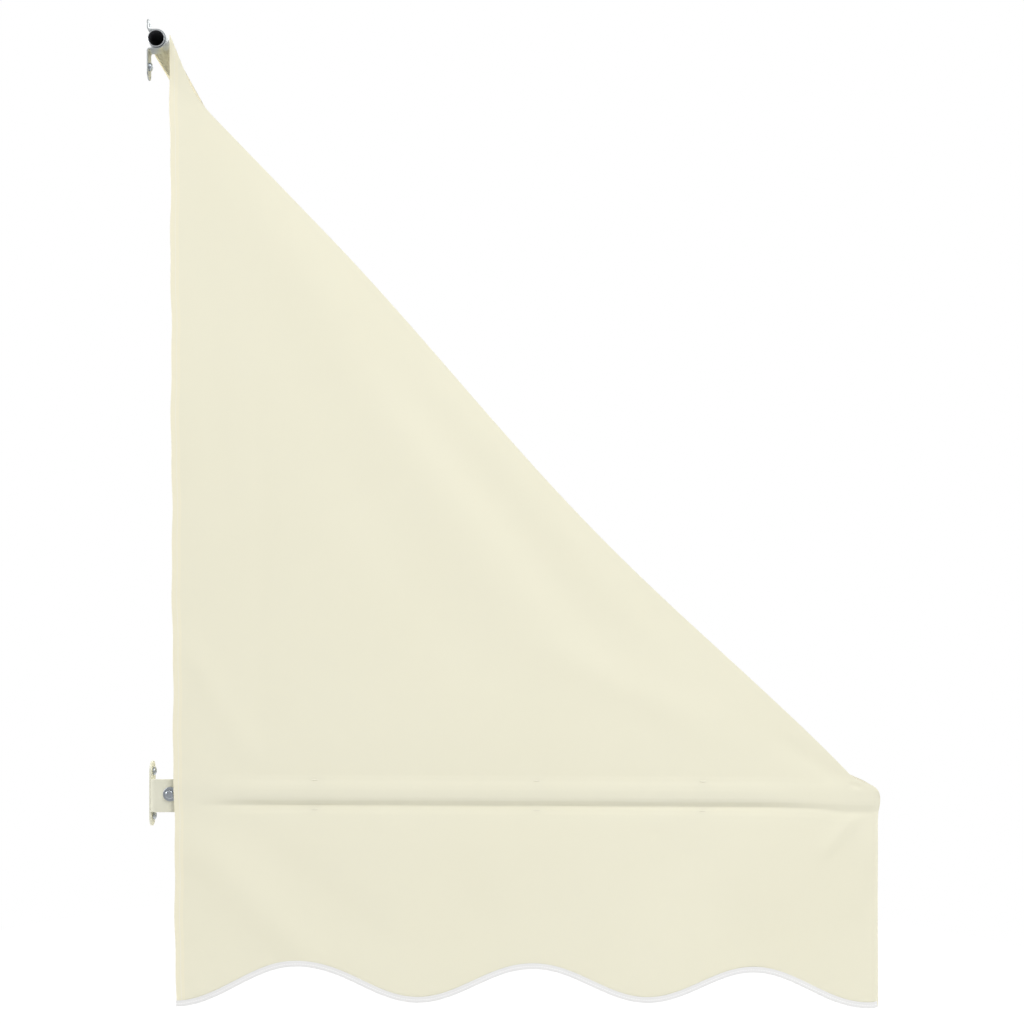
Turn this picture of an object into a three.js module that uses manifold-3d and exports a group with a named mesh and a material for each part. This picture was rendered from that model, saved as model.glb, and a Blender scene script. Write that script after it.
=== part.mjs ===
// A bistro awning: a steel tube frame that hinges at two wall brackets, and a cloth cover that hangs from
// a top tube.
// Millimetres. X runs along the wall, the wall is the plane y = 0, the awning stands out to -Y, and +Z is up.
// The origin lies on the wall, midway between the two brackets, at the height of their pivots.

import * as THREE from "three";
import { mergeVertices } from "three/addons/utils/BufferGeometryUtils.js";
import Module from "manifold-3d";

const wasm = await Module();
wasm.setup();

const { lerp, clamp, smoothstep, degToRad } = THREE.MathUtils;

// Overall sizes
const AWNING_WIDTH = 1500; // over the side panels, where the arms touch them
const PROJECTION = 1200; // from the wall to the cover's front corner
const HEAD_HEIGHT = 1240; // from the pivots up to the axis of the top tube
const VALANCE_DROP = 344; // from the pivots down to the lowest point of the valance

// Fits
const SEAT_GAP = 0.3; // between a piece and what it seats on

// Facets of round outlines
const CURVE_STEPS = 4; // an arc in an outline gets twice as many sides
const BEND_STEPS = 6; // round a bracket's bend
const HOLE_SIDES = 14;
const SMALL_HOLE_SIDES = 10;
const HEAD_SIDES = 10; // round a screw's head
const HEX_TURN_SIDES = 18; // round the turned-down corners of a hexagon

// Steel tubes
const TUBE_R = 14;
const TUBE_WALL = 1.2;
const TUBE_CHAMFER = 0.4;
const TUBE_STANDOFF = 2; // from the top tube to the wall
const TUBE_OVERHANG = 5; // the top tube passes the side panels by this
const TUBE_SIDES = 24;

// Cover cloth
const CLOTH_T = 1.2;
const SCALLOP_PITCH = 375;
const SCALLOP_DEPTH = 66;
const SCALLOP_STEPS = 6;
const SCALLOP_DRIFT = 0.06; // waves by which the middle of a side's edge lags an even spacing
const SIDE_EDGE_CLEAR = 1; // from the top tube's front to the top of the side panel's wall edge
const SIDE_EDGE_LOW_Y = -48;
const SIDE_EDGE_RISE = 18; // the side panel's upper corner stands this far over the top tube's axis
const HEAD_FRONT = [-59, -90]; // foot of the steep head, from the top tube's axis
const SLOPE_SAG = 33;
const SLOPE_TAUT = 0.2; // share of the slope, from its head, that stays straight
const MIDDLE_SAG = 12;
const SLEEVE_LEAN = degToRad(24.8); // of the sleeve's back layer
const SLEEVE_BEND = 62; // length over which the back layer stays straight
const LAP_START = 4;
const LAP_LENGTH = 18;
const CORNER_BREAK_IN = 3.5; // the slope meets the corner elbow this far in front of its back
const CORNER_BREAK_UP = 12.2; // and this far over its top
const CORNER_TUCK = 3.1; // at the corners the valance hangs this far behind the elbow's front
const VALANCE_SETTLE = 28; // height below the bar over which the valance settles to a plumb hang
const CORNER_FULL = 0.93; // share of the half width where the cloth lies fully on the elbow
const CORNER_START = 0.85;
const FLARE_START = 170; // the side panels flare out to the elbows between these two, from the bar's axis
const FLARE_END = 40;
const EDGE_OVERLAP = 1; // side panel past the top panel's middle surface
const BINDING_T = 0.6;
const BINDING_HEIGHT = 8;
const BINDING_END = 2.5;
const WRAP_STEPS = 6; // round the top tube
const FRONT_STEPS = 4; // over the front bar
const SLEEVE_SHARES = [0.3, 0.65]; // rows of the sleeve's back layer, between its seam and the tube
const VALANCE_SHARES = [0, 0.33, 0.67, 1]; // rows of the front valance
const CORNER_INSETS = [20, 8, 2, 0]; // columns of a side panel, from its front edge
const LEAN_LIMIT = 1.1; // the side panels go on leaning in to a tenth over the top tube's height

// Arms: a tube whose wall end is pressed flat and drilled
const ARM_WALL = 1.5;
const ARM_FLAT_T = 3;
const ARM_FLAT_LENGTH = 38; // from the pivot to where the flat starts to open
const ARM_OPEN_LENGTH = 105; // from the pivot to the full round
const ARM_RINGS = 6; // between flat and round
const ARM_SIDES = 20;
const ARM_END_CLEAR = 2;
const ARM_SQUARE = 0.3; // the flat end's section runs from round (1) to square (0)
const FRONT_DROP = 5; // the front bar hangs this far below the pivots

// Wall brackets: pressed steel angle with rounded ears
const BRACKET_T = 3;
const BRACKET_BEND_R = 13;
const BRACKET_WIDTH = 40;
const BRACKET_EAR_WIDTH = 34;
const BRACKET_HEIGHT = 107;
const BRACKET_CENTRE_Z = -3;
const TAB_HEIGHT = 54;
const TAB_PAST_PIVOT = 24;
const TAB_CORNER_R = 9;
const BRACKET_SCREW_Z = 37; // from the plate's centre

// Saddles: one band over the top tube, with an ear above and a longer one below
const SADDLE_T = 2;
const SADDLE_WIDTH = 25;
const SADDLE_INSET = 3; // from the tube's end
const SADDLE_BEND_R = 4;
const SADDLE_BEND_STEPS = 3;
const SADDLE_BAND_STEPS = 12;
const SADDLE_EAR_UP = 36; // tip of the upper ear, from the tube's axis
const SADDLE_EAR_DOWN = 64;
const SADDLE_HOLE_UP = 27;
const SADDLE_HOLE_DOWN = 42;
const SLEEVE_TO_SADDLE = 5;

// Pivot bolts
const BOLT_R = 4;
const BOLT_HEAD_FLATS = 13;
const BOLT_HEAD_H = 5.3;
const NUT_H = 6.5;
const BOLT_PAST_NUT = 2;
const WASHER_R = 12;
const WASHER_T = 1.6;
const WASHER_CLEAR = 0.45; // round the bolt
const STACK_GAPS = 5; // head, washer, tab, arm, washer and nut
const HEX_CHAMFER = 0.28; // depth of the turned-down corners, as a share of the corner radius
const HEX_FACE_INSET = 0.5;
const BOLT_TIP = 0.75; // share of the radius at the end of the shank
const BOLT_SIDES = 18;

// Wall screws
const SCREW_R = 2.8;
const SCREW_HEAD_R = 7;
const SCREW_HEAD_H = 5;
const SCREW_TIP = 0.6; // share of the radius at the end of the shank
// A pan head's outline, as shares of its radius and height
const PAN_OUTLINE = [
  [1, 0],
  [1, 0.35],
  [0.82, 0.8],
  [0.45, 1],
  [0, 1],
];

// Corner elbows and their screws
const BALL_R = 24.5;
const SOCKET_WALL = 4; // over the tube, with the gap of its fit
const SOCKET_LENGTH = 45;
const LIP_H = 1.5; // over the socket
const LIP_LENGTH = 6;
const ELBOW_SIDES = 16;
const TUBE_STOP_CLEAR = 2; // between a tube's end and the line of the other tube's side
const BOSS_R = 6;
const BOSS_H = 2; // over the socket
const BOSS_PLACE = 31; // from the elbow's centre
const ELBOW_SCREW_R = 2;
const ELBOW_SCREW_HEAD_R = 4;
const ELBOW_SCREW_HEAD_H = 2.6;
const ELBOW_SCREW_LENGTH = 10;

// Straps that tie the cover to the frame
const STRAP_T = 1.2;
const STRAP_WIDTH = 20;
const STRAP_REACH = 32; // sewn ends, above and below the arm's axis
const STRAP_LEAVES = 20;
const ARM_STRAP_TURN = degToRad(50); // where a strap leaves the arm, from the side panel
const ARM_STRAP_STEPS = 9;
const BAR_STRAP_TURN = [degToRad(-130), degToRad(50)]; // where a strap meets and leaves the front bar
const BAR_STRAP_STEPS = 8;
const BAR_STRAP_SLOPE = [0.995, 0.97]; // shares of the slope under which its upper end lies
const STRAP_LAP_GAP = 0.8;
const ARM_STRAP_SHARES = [0.21, 0.53, 0.77]; // places along the arm
const BAR_STRAP_SHARES = [-0.69, -0.23, 0.23, 0.69]; // places along the half width

// Sizes that follow from the ones above
const HALF_WIDTH = AWNING_WIDTH / 2;
const ARM_X = HALF_WIDTH - CLOTH_T - SEAT_GAP - TUBE_R;
const ARM_FLAT_R = (Math.PI * (TUBE_R - ARM_FLAT_T / 2) + ARM_FLAT_T) / 2;
const PIVOT_Y = -(BRACKET_BEND_R + ARM_END_CLEAR + ARM_FLAT_R);
const TAB_IN = ARM_X + ARM_FLAT_T / 2 + SEAT_GAP;
const TAB_OUT = TAB_IN + BRACKET_T;
const TOP_Y = -(TUBE_R + TUBE_STANDOFF);
const TOP_TUBE_END = HALF_WIDTH + TUBE_OVERHANG;
const SADDLE_OUT = TOP_TUBE_END - SADDLE_INSET;
const SADDLE_IN = SADDLE_OUT - SADDLE_WIDTH;
const HEAD_X = SADDLE_IN - SLEEVE_TO_SADDLE;
const CLOTH_SEAT = SEAT_GAP + CLOTH_T / 2; // from a seat to the cloth's middle surface
const BAR_Y = -(PROJECTION - CLOTH_T - SEAT_GAP - BALL_R);
const BAR_Z = -FRONT_DROP;
const ARM_LENGTH = Math.hypot(BAR_Y - PIVOT_Y, FRONT_DROP);
const FRAME_TILT = Math.asin(FRONT_DROP / ARM_LENGTH);
const SIDE_X = HALF_WIDTH - CLOTH_T / 2;
const CORNER_FLARE = ARM_X + BALL_R + CLOTH_SEAT - SIDE_X;
const SIDE_TO_TOP = CLOTH_T / 2 + SEAT_GAP; // from a side panel's middle to the top panel's edge
const FRONT_HALF = SIDE_X + CORNER_FLARE - SIDE_TO_TOP;
const LEAN_FROM_Z = TUBE_R + 2;
const SOCKET_R = TUBE_R + SOCKET_WALL;
const LIP_R = SOCKET_R + LIP_H;
const BOSS_FACE = SOCKET_R + BOSS_H; // from the socket's axis
const TUBE_STOP = TUBE_R + TUBE_STOP_CLEAR; // tube ends stop this far from the elbow's centre
// Where the slope meets the corner elbow, and the corner's valance, from the front bar's axis
const CORNER_BREAK = [BALL_R - CORNER_BREAK_IN, BALL_R + CORNER_BREAK_UP];
const CORNER_HANG = BALL_R - CORNER_TUCK;
const HEAD = [TOP_Y + HEAD_FRONT[0], HEAD_HEIGHT + HEAD_FRONT[1]];
const FOOT = [BAR_Y + CORNER_BREAK[0], BAR_Z + CORNER_BREAK[1]];
const CORNER_Y = BAR_Y - BALL_R - CLOTH_SEAT;
const LOW_Z = BAR_Z - VALANCE_SETTLE;

const galvanised = new THREE.MeshStandardMaterial({ color: 0xb9bdc0, roughness: 0.38, metalness: 0.9 });
const platedBracket = new THREE.MeshStandardMaterial({ color: 0xc9c7b8, roughness: 0.42, metalness: 0.85 });
const darkZinc = new THREE.MeshStandardMaterial({ color: 0x8d9298, roughness: 0.35, metalness: 0.95 });
const greyPlastic = new THREE.MeshStandardMaterial({ color: 0xa9aaa6, roughness: 0.55, metalness: 0 });
const creamCloth = new THREE.MeshStandardMaterial({ color: 0xecead9, roughness: 0.85, metalness: 0 });
const whiteTape = new THREE.MeshStandardMaterial({ color: 0xf0f0f2, roughness: 0.8, metalness: 0 });

// Booleans

function solidOf(geometry) {
  const loose = geometry.index ? geometry.toNonIndexed() : geometry;
  const bare = new THREE.BufferGeometry();
  bare.setAttribute("position", loose.getAttribute("position"));
  const merged = mergeVertices(bare, 1e-4);
  const mesh = new wasm.Mesh({
    numProp: 3,
    vertProperties: merged.attributes.position.array,
    triVerts: new Uint32Array(merged.index.array),
  });
  return new wasm.Manifold(mesh);
}

function geometryOf(solid) {
  const mesh = solid.getMesh();
  const geometry = new THREE.BufferGeometry();
  geometry.setAttribute("position", new THREE.BufferAttribute(mesh.vertProperties, 3));
  geometry.setIndex(new THREE.BufferAttribute(mesh.triVerts, 1));
  geometry.computeVertexNormals();
  return geometry;
}

// Adds the geometries of the first list together, and cuts those of the second list out of them.
function combine(added, cut = []) {
  let solid = solidOf(added[0]);
  for (const geometry of added.slice(1)) solid = solid.add(solidOf(geometry));
  for (const geometry of cut) solid = solid.subtract(solidOf(geometry));
  return geometryOf(solid);
}

function common(first, second) {
  return geometryOf(solidOf(first).intersect(solidOf(second)));
}

// Basic forms

const ALONG_X = new THREE.Matrix4().makeBasis(
  new THREE.Vector3(0, 1, 0),
  new THREE.Vector3(0, 0, 1),
  new THREE.Vector3(1, 0, 0),
);
const ALONG_Y = new THREE.Matrix4().makeBasis(
  new THREE.Vector3(1, 0, 0),
  new THREE.Vector3(0, 0, 1),
  new THREE.Vector3(0, -1, 0),
);

// An outline in (x, y), extruded from z = from to z = to.
function extruded(shape, from, to) {
  const settings = { depth: to - from, bevelEnabled: false, curveSegments: CURVE_STEPS };
  return new THREE.ExtrudeGeometry(shape, settings).translate(0, 0, from);
}

// An outline in (y, z), extruded from x = from to x = to.
function extrudeX(shape, from, to) {
  return extruded(shape, from, to).applyMatrix4(ALONG_X);
}

// An outline in (x, z), extruded from y = from forwards by depth.
function extrudeForward(shape, from, depth) {
  return extruded(shape, 0, depth).applyMatrix4(ALONG_Y).translate(0, from, 0);
}

// A plug along one axis. Its flats lie at the radius, so the hole it cuts clears a round pin.
function holeCutter(axis, radius, length, sides = HOLE_SIDES) {
  const outer = radius / Math.cos(Math.PI / sides);
  const geometry = new THREE.CylinderGeometry(outer, outer, length, sides);
  if (axis === "x") geometry.rotateZ(Math.PI / 2);
  if (axis === "z") geometry.rotateX(Math.PI / 2);
  return geometry;
}

// A round solid about +Y. Its profile lists [radius, distance], and starts and ends on the axis or is closed.
function turned(profile, sides) {
  return new THREE.LatheGeometry(
    profile.map(([radius, distance]) => new THREE.Vector2(radius, distance)),
    sides,
  );
}

// A tube along X, centred on x = 0, with chamfered ends.
function tubeAlongX(length, radius, wall, sides) {
  const half = length / 2;
  const bore = radius - wall;
  const profile = [
    [bore, -half],
    [radius - TUBE_CHAMFER, -half],
    [radius, -half + TUBE_CHAMFER],
    [radius, half - TUBE_CHAMFER],
    [radius - TUBE_CHAMFER, half],
    [bore, half],
    [bore, -half],
  ];
  return turned(profile, sides).rotateZ(-Math.PI / 2);
}

function arc(centre, radius, from, to, steps) {
  return Array.from({ length: steps + 1 }, (_, i) => {
    const angle = lerp(from, to, i / steps);
    return [centre[0] + radius * Math.cos(angle), centre[1] + radius * Math.sin(angle)];
  });
}

// The outline of a bent strip: its middle line, half the thickness to each side.
function stripShape(line, thickness) {
  const points = line.map(([a, b]) => new THREE.Vector2(a, b));
  const normals = points.slice(1).map((point, i) => {
    const along = point.clone().sub(points[i]).normalize();
    return new THREE.Vector2(-along.y, along.x);
  });
  const offsets = points.map((_, i) => {
    const before = normals[Math.max(i - 1, 0)];
    const after = normals[Math.min(i, normals.length - 1)];
    const middle = before.clone().add(after).normalize();
    return middle.multiplyScalar(thickness / 2 / middle.dot(after));
  });
  const left = points.map((point, i) => point.clone().add(offsets[i]));
  const right = points.map((point, i) => point.clone().sub(offsets[i]));
  return new THREE.Shape([...left, ...right.reverse()]);
}

// A rectangle between two corners, with each corner rounded.
function roundedShape(lowA, lowB, highA, highB, radius) {
  const shape = new THREE.Shape();
  shape.absarc(highA - radius, highB - radius, radius, 0, Math.PI / 2);
  shape.absarc(lowA + radius, highB - radius, radius, Math.PI / 2, Math.PI);
  shape.absarc(lowA + radius, lowB + radius, radius, Math.PI, 1.5 * Math.PI);
  shape.absarc(highA - radius, lowB + radius, radius, 1.5 * Math.PI, 2 * Math.PI);
  return shape;
}

// A solid through closed rings with the same number of points, its two ends closed by fans.
function loft(rings) {
  const count = rings[0].length;
  const positions = [];
  const add = (...corners) => corners.forEach((corner) => positions.push(corner.x, corner.y, corner.z));
  const middleOf = (ring) =>
    ring.reduce((sum, point) => sum.add(point), new THREE.Vector3()).divideScalar(ring.length);
  for (let r = 0; r + 1 < rings.length; r += 1) {
    for (let i = 0; i < count; i += 1) {
      const next = (i + 1) % count;
      add(rings[r][i], rings[r][next], rings[r + 1][next]);
      add(rings[r][i], rings[r + 1][next], rings[r + 1][i]);
    }
  }
  const first = rings[0];
  const last = rings[rings.length - 1];
  for (let i = 0; i < count; i += 1) {
    const next = (i + 1) % count;
    add(middleOf(first), first[next], first[i]);
    add(middleOf(last), last[i], last[next]);
  }
  const geometry = new THREE.BufferGeometry();
  geometry.setAttribute("position", new THREE.Float32BufferAttribute(positions, 3));
  geometry.computeVertexNormals();
  return geometry;
}

// A closed sheet of even thickness whose middle surface runs through a grid of points.
function sheet(grid, thickness) {
  const columns = grid.length;
  const rows = grid[0].length;
  const faceNormal = (i, j) => {
    const across = grid[i + 1][j].clone().sub(grid[i][j]).add(grid[i + 1][j + 1]).sub(grid[i][j + 1]);
    const along = grid[i][j + 1].clone().sub(grid[i][j]).add(grid[i + 1][j + 1]).sub(grid[i + 1][j]);
    return across.cross(along).normalize();
  };
  const offsetAt = (i, j) => {
    const near = [];
    for (const a of [i - 1, i]) {
      for (const b of [j - 1, j]) {
        if (a >= 0 && b >= 0 && a < columns - 1 && b < rows - 1) near.push(faceNormal(a, b));
      }
    }
    const middle = near.reduce((sum, normal) => sum.add(normal), new THREE.Vector3()).normalize();
    const least = Math.min(...near.map((normal) => normal.dot(middle)));
    return middle.multiplyScalar(thickness / 2 / least);
  };
  const offsets = grid.map((column, i) => column.map((_, j) => offsetAt(i, j)));
  const front = grid.map((column, i) => column.map((point, j) => point.clone().add(offsets[i][j])));
  const back = grid.map((column, i) => column.map((point, j) => point.clone().sub(offsets[i][j])));
  const positions = [];
  const quad = (a, b, c, d) => [a, b, c, a, c, d].forEach((p) => positions.push(p.x, p.y, p.z));
  for (let i = 0; i + 1 < columns; i += 1) {
    for (let j = 0; j + 1 < rows; j += 1) {
      quad(front[i][j], front[i + 1][j], front[i + 1][j + 1], front[i][j + 1]);
      quad(back[i][j], back[i][j + 1], back[i + 1][j + 1], back[i + 1][j]);
    }
    quad(back[i][0], back[i + 1][0], front[i + 1][0], front[i][0]);
    quad(front[i][rows - 1], front[i + 1][rows - 1], back[i + 1][rows - 1], back[i][rows - 1]);
  }
  for (let j = 0; j + 1 < rows; j += 1) {
    quad(front[0][j], front[0][j + 1], back[0][j + 1], back[0][j]);
    quad(back[columns - 1][j], back[columns - 1][j + 1], front[columns - 1][j + 1], front[columns - 1][j]);
  }
  const geometry = new THREE.BufferGeometry();
  geometry.setAttribute("position", new THREE.Float32BufferAttribute(positions, 3));
  geometry.computeVertexNormals();
  return geometry;
}

function named(name, geometry, material) {
  const mesh = new THREE.Mesh(geometry, material);
  mesh.name = name;
  return mesh;
}

// Fasteners. Each is built with its head at +Y and the seat of its head at the origin.

function panScrew(headR, headH, shankR, length) {
  const profile = [
    [0, -length],
    [shankR * SCREW_TIP, -length],
    [shankR, -length + shankR * (1 - SCREW_TIP)],
    [shankR, 0],
    ...PAN_OUTLINE.map(([radius, height]) => [headR * radius, headH * height]),
  ];
  return turned(profile, HEAD_SIDES);
}

// A hexagon whose corners are turned down at the top, as on a bolt head or a nut.
function chamferedHexagon(flats, height) {
  const corner = flats / Math.sqrt(3);
  const hexagon = new THREE.CylinderGeometry(corner, corner, height, 6).translate(0, height / 2, 0);
  const cone = turned(
    [
      [0, 0],
      [corner + 1, 0],
      [corner + 1, height - corner * HEX_CHAMFER],
      [flats / 2 - HEX_FACE_INSET, height],
      [0, height],
    ],
    HEX_TURN_SIDES,
  );
  return common(hexagon, cone);
}

function pivotBolt() {
  const grip = WASHER_T + BRACKET_T + ARM_FLAT_T + WASHER_T + NUT_H + STACK_GAPS * SEAT_GAP;
  const shank = turned(
    [
      [0, -grip - BOLT_PAST_NUT],
      [BOLT_R * BOLT_TIP, -grip - BOLT_PAST_NUT],
      [BOLT_R, -grip - BOLT_PAST_NUT / 2],
      [BOLT_R, 1],
      [0, 1],
    ],
    BOLT_SIDES,
  );
  return combine([chamferedHexagon(BOLT_HEAD_FLATS, BOLT_HEAD_H), shank]);
}

function pivotNut() {
  const bore = holeCutter("y", BOLT_R + SEAT_GAP, NUT_H * 3);
  return combine([chamferedHexagon(BOLT_HEAD_FLATS, NUT_H)], [bore]);
}

function washer() {
  const bore = BOLT_R + WASHER_CLEAR;
  const profile = [
    [bore, 0],
    [WASHER_R, 0],
    [WASHER_R, WASHER_T * 0.75],
    [WASHER_R - WASHER_T * 0.25, WASHER_T],
    [bore, WASHER_T],
    [bore, 0],
  ];
  return turned(profile, HOLE_SIDES);
}

// Metal parts. Those of one side are built for the side at +X; the other side is their mirror image.

function topTube() {
  const tube = named("top_tube", tubeAlongX(2 * TOP_TUBE_END, TUBE_R, TUBE_WALL, TUBE_SIDES), galvanised);
  tube.position.set(0, TOP_Y, HEAD_HEIGHT);
  return tube;
}

// The saddle's band leaves the wall, runs round the front of the tube and comes back to the wall. Its line is
// in (y, z) from the tube's axis.
function saddle() {
  const wall = -TOP_Y - SADDLE_T / 2;
  const bandR = TUBE_R + SEAT_GAP + SADDLE_T / 2;
  const bendAt = [wall - SADDLE_BEND_R, bandR + SADDLE_BEND_R];
  const quarter = Math.PI / 2;
  const upper = [[wall, SADDLE_EAR_UP], ...arc(bendAt, SADDLE_BEND_R, 0, -quarter, SADDLE_BEND_STEPS)];
  const bendBelow = arc([bendAt[0], -bendAt[1]], SADDLE_BEND_R, quarter, 0, SADDLE_BEND_STEPS);
  const lower = [...bendBelow, [wall, -SADDLE_EAR_DOWN]];
  const facetR = bandR / Math.cos(quarter / SADDLE_BAND_STEPS);
  const round = arc([0, 0], facetR, quarter, 3 * quarter, SADDLE_BAND_STEPS);
  const band = extrudeX(stripShape([...upper, ...round, ...lower], SADDLE_T), SADDLE_IN, SADDLE_OUT);
  const ears = roundedShape(SADDLE_IN, -SADDLE_EAR_DOWN, SADDLE_OUT, SADDLE_EAR_UP, SADDLE_WIDTH / 2 - 0.5);
  const reach = bandR + SADDLE_T + wall;
  const trimmed = common(band, extrudeForward(ears, wall + SADDLE_T, reach * 2));
  const holes = [SADDLE_HOLE_UP, -SADDLE_HOLE_DOWN].map((z) =>
    holeCutter("y", SCREW_R + SEAT_GAP, SADDLE_T * 4).translate((SADDLE_IN + SADDLE_OUT) / 2, wall, z),
  );
  return combine([trimmed], holes);
}

function wallBracket() {
  const flatTo = TAB_OUT - BRACKET_BEND_R;
  const middleR = BRACKET_BEND_R - BRACKET_T / 2;
  const tabEnd = PIVOT_Y - TAB_PAST_PIVOT;
  const plateIn = TAB_OUT - BRACKET_WIDTH;
  const line = [
    [plateIn + BRACKET_EAR_WIDTH / 2, -BRACKET_T / 2],
    ...arc([flatTo, -BRACKET_BEND_R], middleR, Math.PI / 2, 0, BEND_STEPS),
    [TAB_OUT - BRACKET_T / 2, tabEnd],
  ];
  const angle = extruded(
    stripShape(line, BRACKET_T),
    BRACKET_CENTRE_Z - TAB_HEIGHT / 2,
    BRACKET_CENTRE_Z + TAB_HEIGHT / 2,
  );
  const side = roundedShape(
    tabEnd,
    BRACKET_CENTRE_Z - TAB_HEIGHT / 2,
    2 * TAB_CORNER_R,
    BRACKET_CENTRE_Z + TAB_HEIGHT / 2,
    TAB_CORNER_R,
  );
  const tab = common(angle, extrudeX(side, plateIn, TAB_OUT + BRACKET_T));
  const ears = roundedShape(
    plateIn,
    BRACKET_CENTRE_Z - BRACKET_HEIGHT / 2,
    plateIn + BRACKET_EAR_WIDTH,
    BRACKET_CENTRE_Z + BRACKET_HEIGHT / 2,
    BRACKET_EAR_WIDTH / 2 - 1,
  );
  const plate = extrudeForward(ears, 0, BRACKET_T);
  const screwX = plateIn + BRACKET_EAR_WIDTH / 2;
  const holes = [BRACKET_SCREW_Z, -BRACKET_SCREW_Z].map((z) =>
    holeCutter("y", SCREW_R + SEAT_GAP, BRACKET_T * 4).translate(screwX, 0, BRACKET_CENTRE_Z + z),
  );
  const pivot = holeCutter("x", BOLT_R + SEAT_GAP, BRACKET_T * 4, BOLT_SIDES).translate(TAB_OUT, PIVOT_Y, 0);
  return combine([plate, tab], [...holes, pivot]);
}

// One ring of the arm round its axis: a circle that is pressed into a flat oval as press goes from 0 to 1.
function armRing(distance, radius, flatHalf, flatReach, press) {
  const halfX = lerp(radius, flatHalf, press);
  const halfZ = lerp(radius, flatReach, press);
  const square = lerp(1, ARM_SQUARE, press);
  return Array.from({ length: ARM_SIDES }, (_, i) => {
    const angle = (2 * Math.PI * i) / ARM_SIDES;
    const cosine = Math.cos(angle);
    return new THREE.Vector3(
      halfX * Math.sign(cosine) * Math.abs(cosine) ** square,
      -distance,
      halfZ * Math.sin(angle),
    );
  });
}

// Cuts the hole for an elbow's screw through a tube and the boss under it.
function elbowScrewHole(x, y) {
  return holeCutter("z", ELBOW_SCREW_R + SEAT_GAP, TUBE_R, SMALL_HOLE_SIDES).translate(x, y, -TUBE_R);
}

// From the pivot at the origin, the arm runs along -Y: flat end, opening flare, round tube.
function arm() {
  const end = ARM_LENGTH - TUBE_STOP;
  const bore = TUBE_R - ARM_WALL;
  const flatHalf = ARM_FLAT_T / 2;
  const rings = [];
  const outerRing = (distance, press) => rings.push(armRing(distance, TUBE_R, flatHalf, ARM_FLAT_R, press));
  outerRing(-ARM_FLAT_R, 1);
  for (let i = 0; i <= ARM_RINGS; i += 1) {
    const share = i / ARM_RINGS;
    outerRing(lerp(ARM_FLAT_LENGTH, ARM_OPEN_LENGTH, share), 1 - smoothstep(share, 0, 1));
  }
  outerRing(end, 0);
  rings.push(armRing(end, bore, 0, 0, 0));
  for (let i = ARM_RINGS; i > 1; i -= 1) {
    const share = i / ARM_RINGS;
    const press = 1 - smoothstep(share, 0, 1);
    const distance = lerp(ARM_FLAT_LENGTH, ARM_OPEN_LENGTH, share);
    rings.push(armRing(distance, bore, flatHalf * 0.2, ARM_FLAT_R - ARM_WALL, press));
  }
  const outline = new THREE.Shape();
  outline.absarc(0, 0, ARM_FLAT_R, -Math.PI / 2, Math.PI / 2);
  outline.lineTo(-ARM_LENGTH, ARM_FLAT_R);
  outline.lineTo(-ARM_LENGTH, -ARM_FLAT_R);
  const rounded = common(loft(rings), extrudeX(outline, -TUBE_R * 2, TUBE_R * 2));
  const pivotHole = holeCutter("x", BOLT_R + SEAT_GAP, TUBE_R * 2, BOLT_SIDES);
  const screwHole = elbowScrewHole(0, BOSS_PLACE - ARM_LENGTH);
  return combine([rounded], [pivotHole, screwHole]);
}

// The elbow's centre is the origin; one socket runs back to the wall, the other inwards along the front bar.
function cornerElbow() {
  const profile = [
    [0, 0],
    [SOCKET_R, 0],
    [SOCKET_R, SOCKET_LENGTH - LIP_LENGTH - 1],
    [LIP_R, SOCKET_LENGTH - LIP_LENGTH],
    [LIP_R, SOCKET_LENGTH - 1],
    [LIP_R - 1, SOCKET_LENGTH],
    [0, SOCKET_LENGTH],
  ];
  const toWall = turned(profile, ELBOW_SIDES);
  const inward = turned(profile, ELBOW_SIDES).rotateZ(Math.PI / 2);
  const ball = new THREE.SphereGeometry(BALL_R, ELBOW_SIDES, ELBOW_SIDES / 2);
  const depth = SOCKET_LENGTH - TUBE_STOP + SEAT_GAP;
  const boreAt = TUBE_STOP - SEAT_GAP + depth / 2 + 1;
  const boreY = holeCutter("y", TUBE_R + SEAT_GAP, depth + 2, ELBOW_SIDES).translate(0, boreAt, 0);
  const boreX = holeCutter("x", TUBE_R + SEAT_GAP, depth + 2, ELBOW_SIDES).translate(-boreAt, 0, 0);
  const boss = new THREE.CylinderGeometry(BOSS_R, BOSS_R, BOSS_FACE - TUBE_R, HEAD_SIDES)
    .rotateX(Math.PI / 2)
    .translate(0, 0, -(BOSS_FACE + TUBE_R) / 2);
  const places = [
    [0, BOSS_PLACE],
    [-BOSS_PLACE, 0],
  ];
  const bosses = places.map(([x, y]) => boss.clone().translate(x, y, 0));
  const holes = places.map(([x, y]) => elbowScrewHole(x, y));
  return combine([ball, toWall, inward, ...bosses], [boreY, boreX, ...holes]);
}

function frontBar() {
  const half = ARM_X - TUBE_STOP;
  const tube = tubeAlongX(2 * half, TUBE_R, TUBE_WALL, TUBE_SIDES);
  const holes = [1, -1].map((side) => elbowScrewHole(side * (ARM_X - BOSS_PLACE), 0));
  const bar = named("front_bar", combine([tube], holes), galvanised);
  bar.position.set(0, -ARM_LENGTH, 0);
  return bar;
}

// Cover

// Middle surface of a side panel, as its distance from the middle of the awning.
function sideX(y, z) {
  const rise = clamp((z - LEAN_FROM_Z) / (HEAD_HEIGHT - LEAN_FROM_Z), 0, LEAN_LIMIT);
  const flare = clamp((BAR_Y + FLARE_START - y) / (FLARE_START - FLARE_END), 0, 1);
  return lerp(SIDE_X, HEAD_X, rise) + CORNER_FLARE * flare;
}

function scallopZ(waves) {
  return -VALANCE_DROP + (SCALLOP_DEPTH / 2) * (1 - Math.cos(2 * Math.PI * waves));
}

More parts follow.
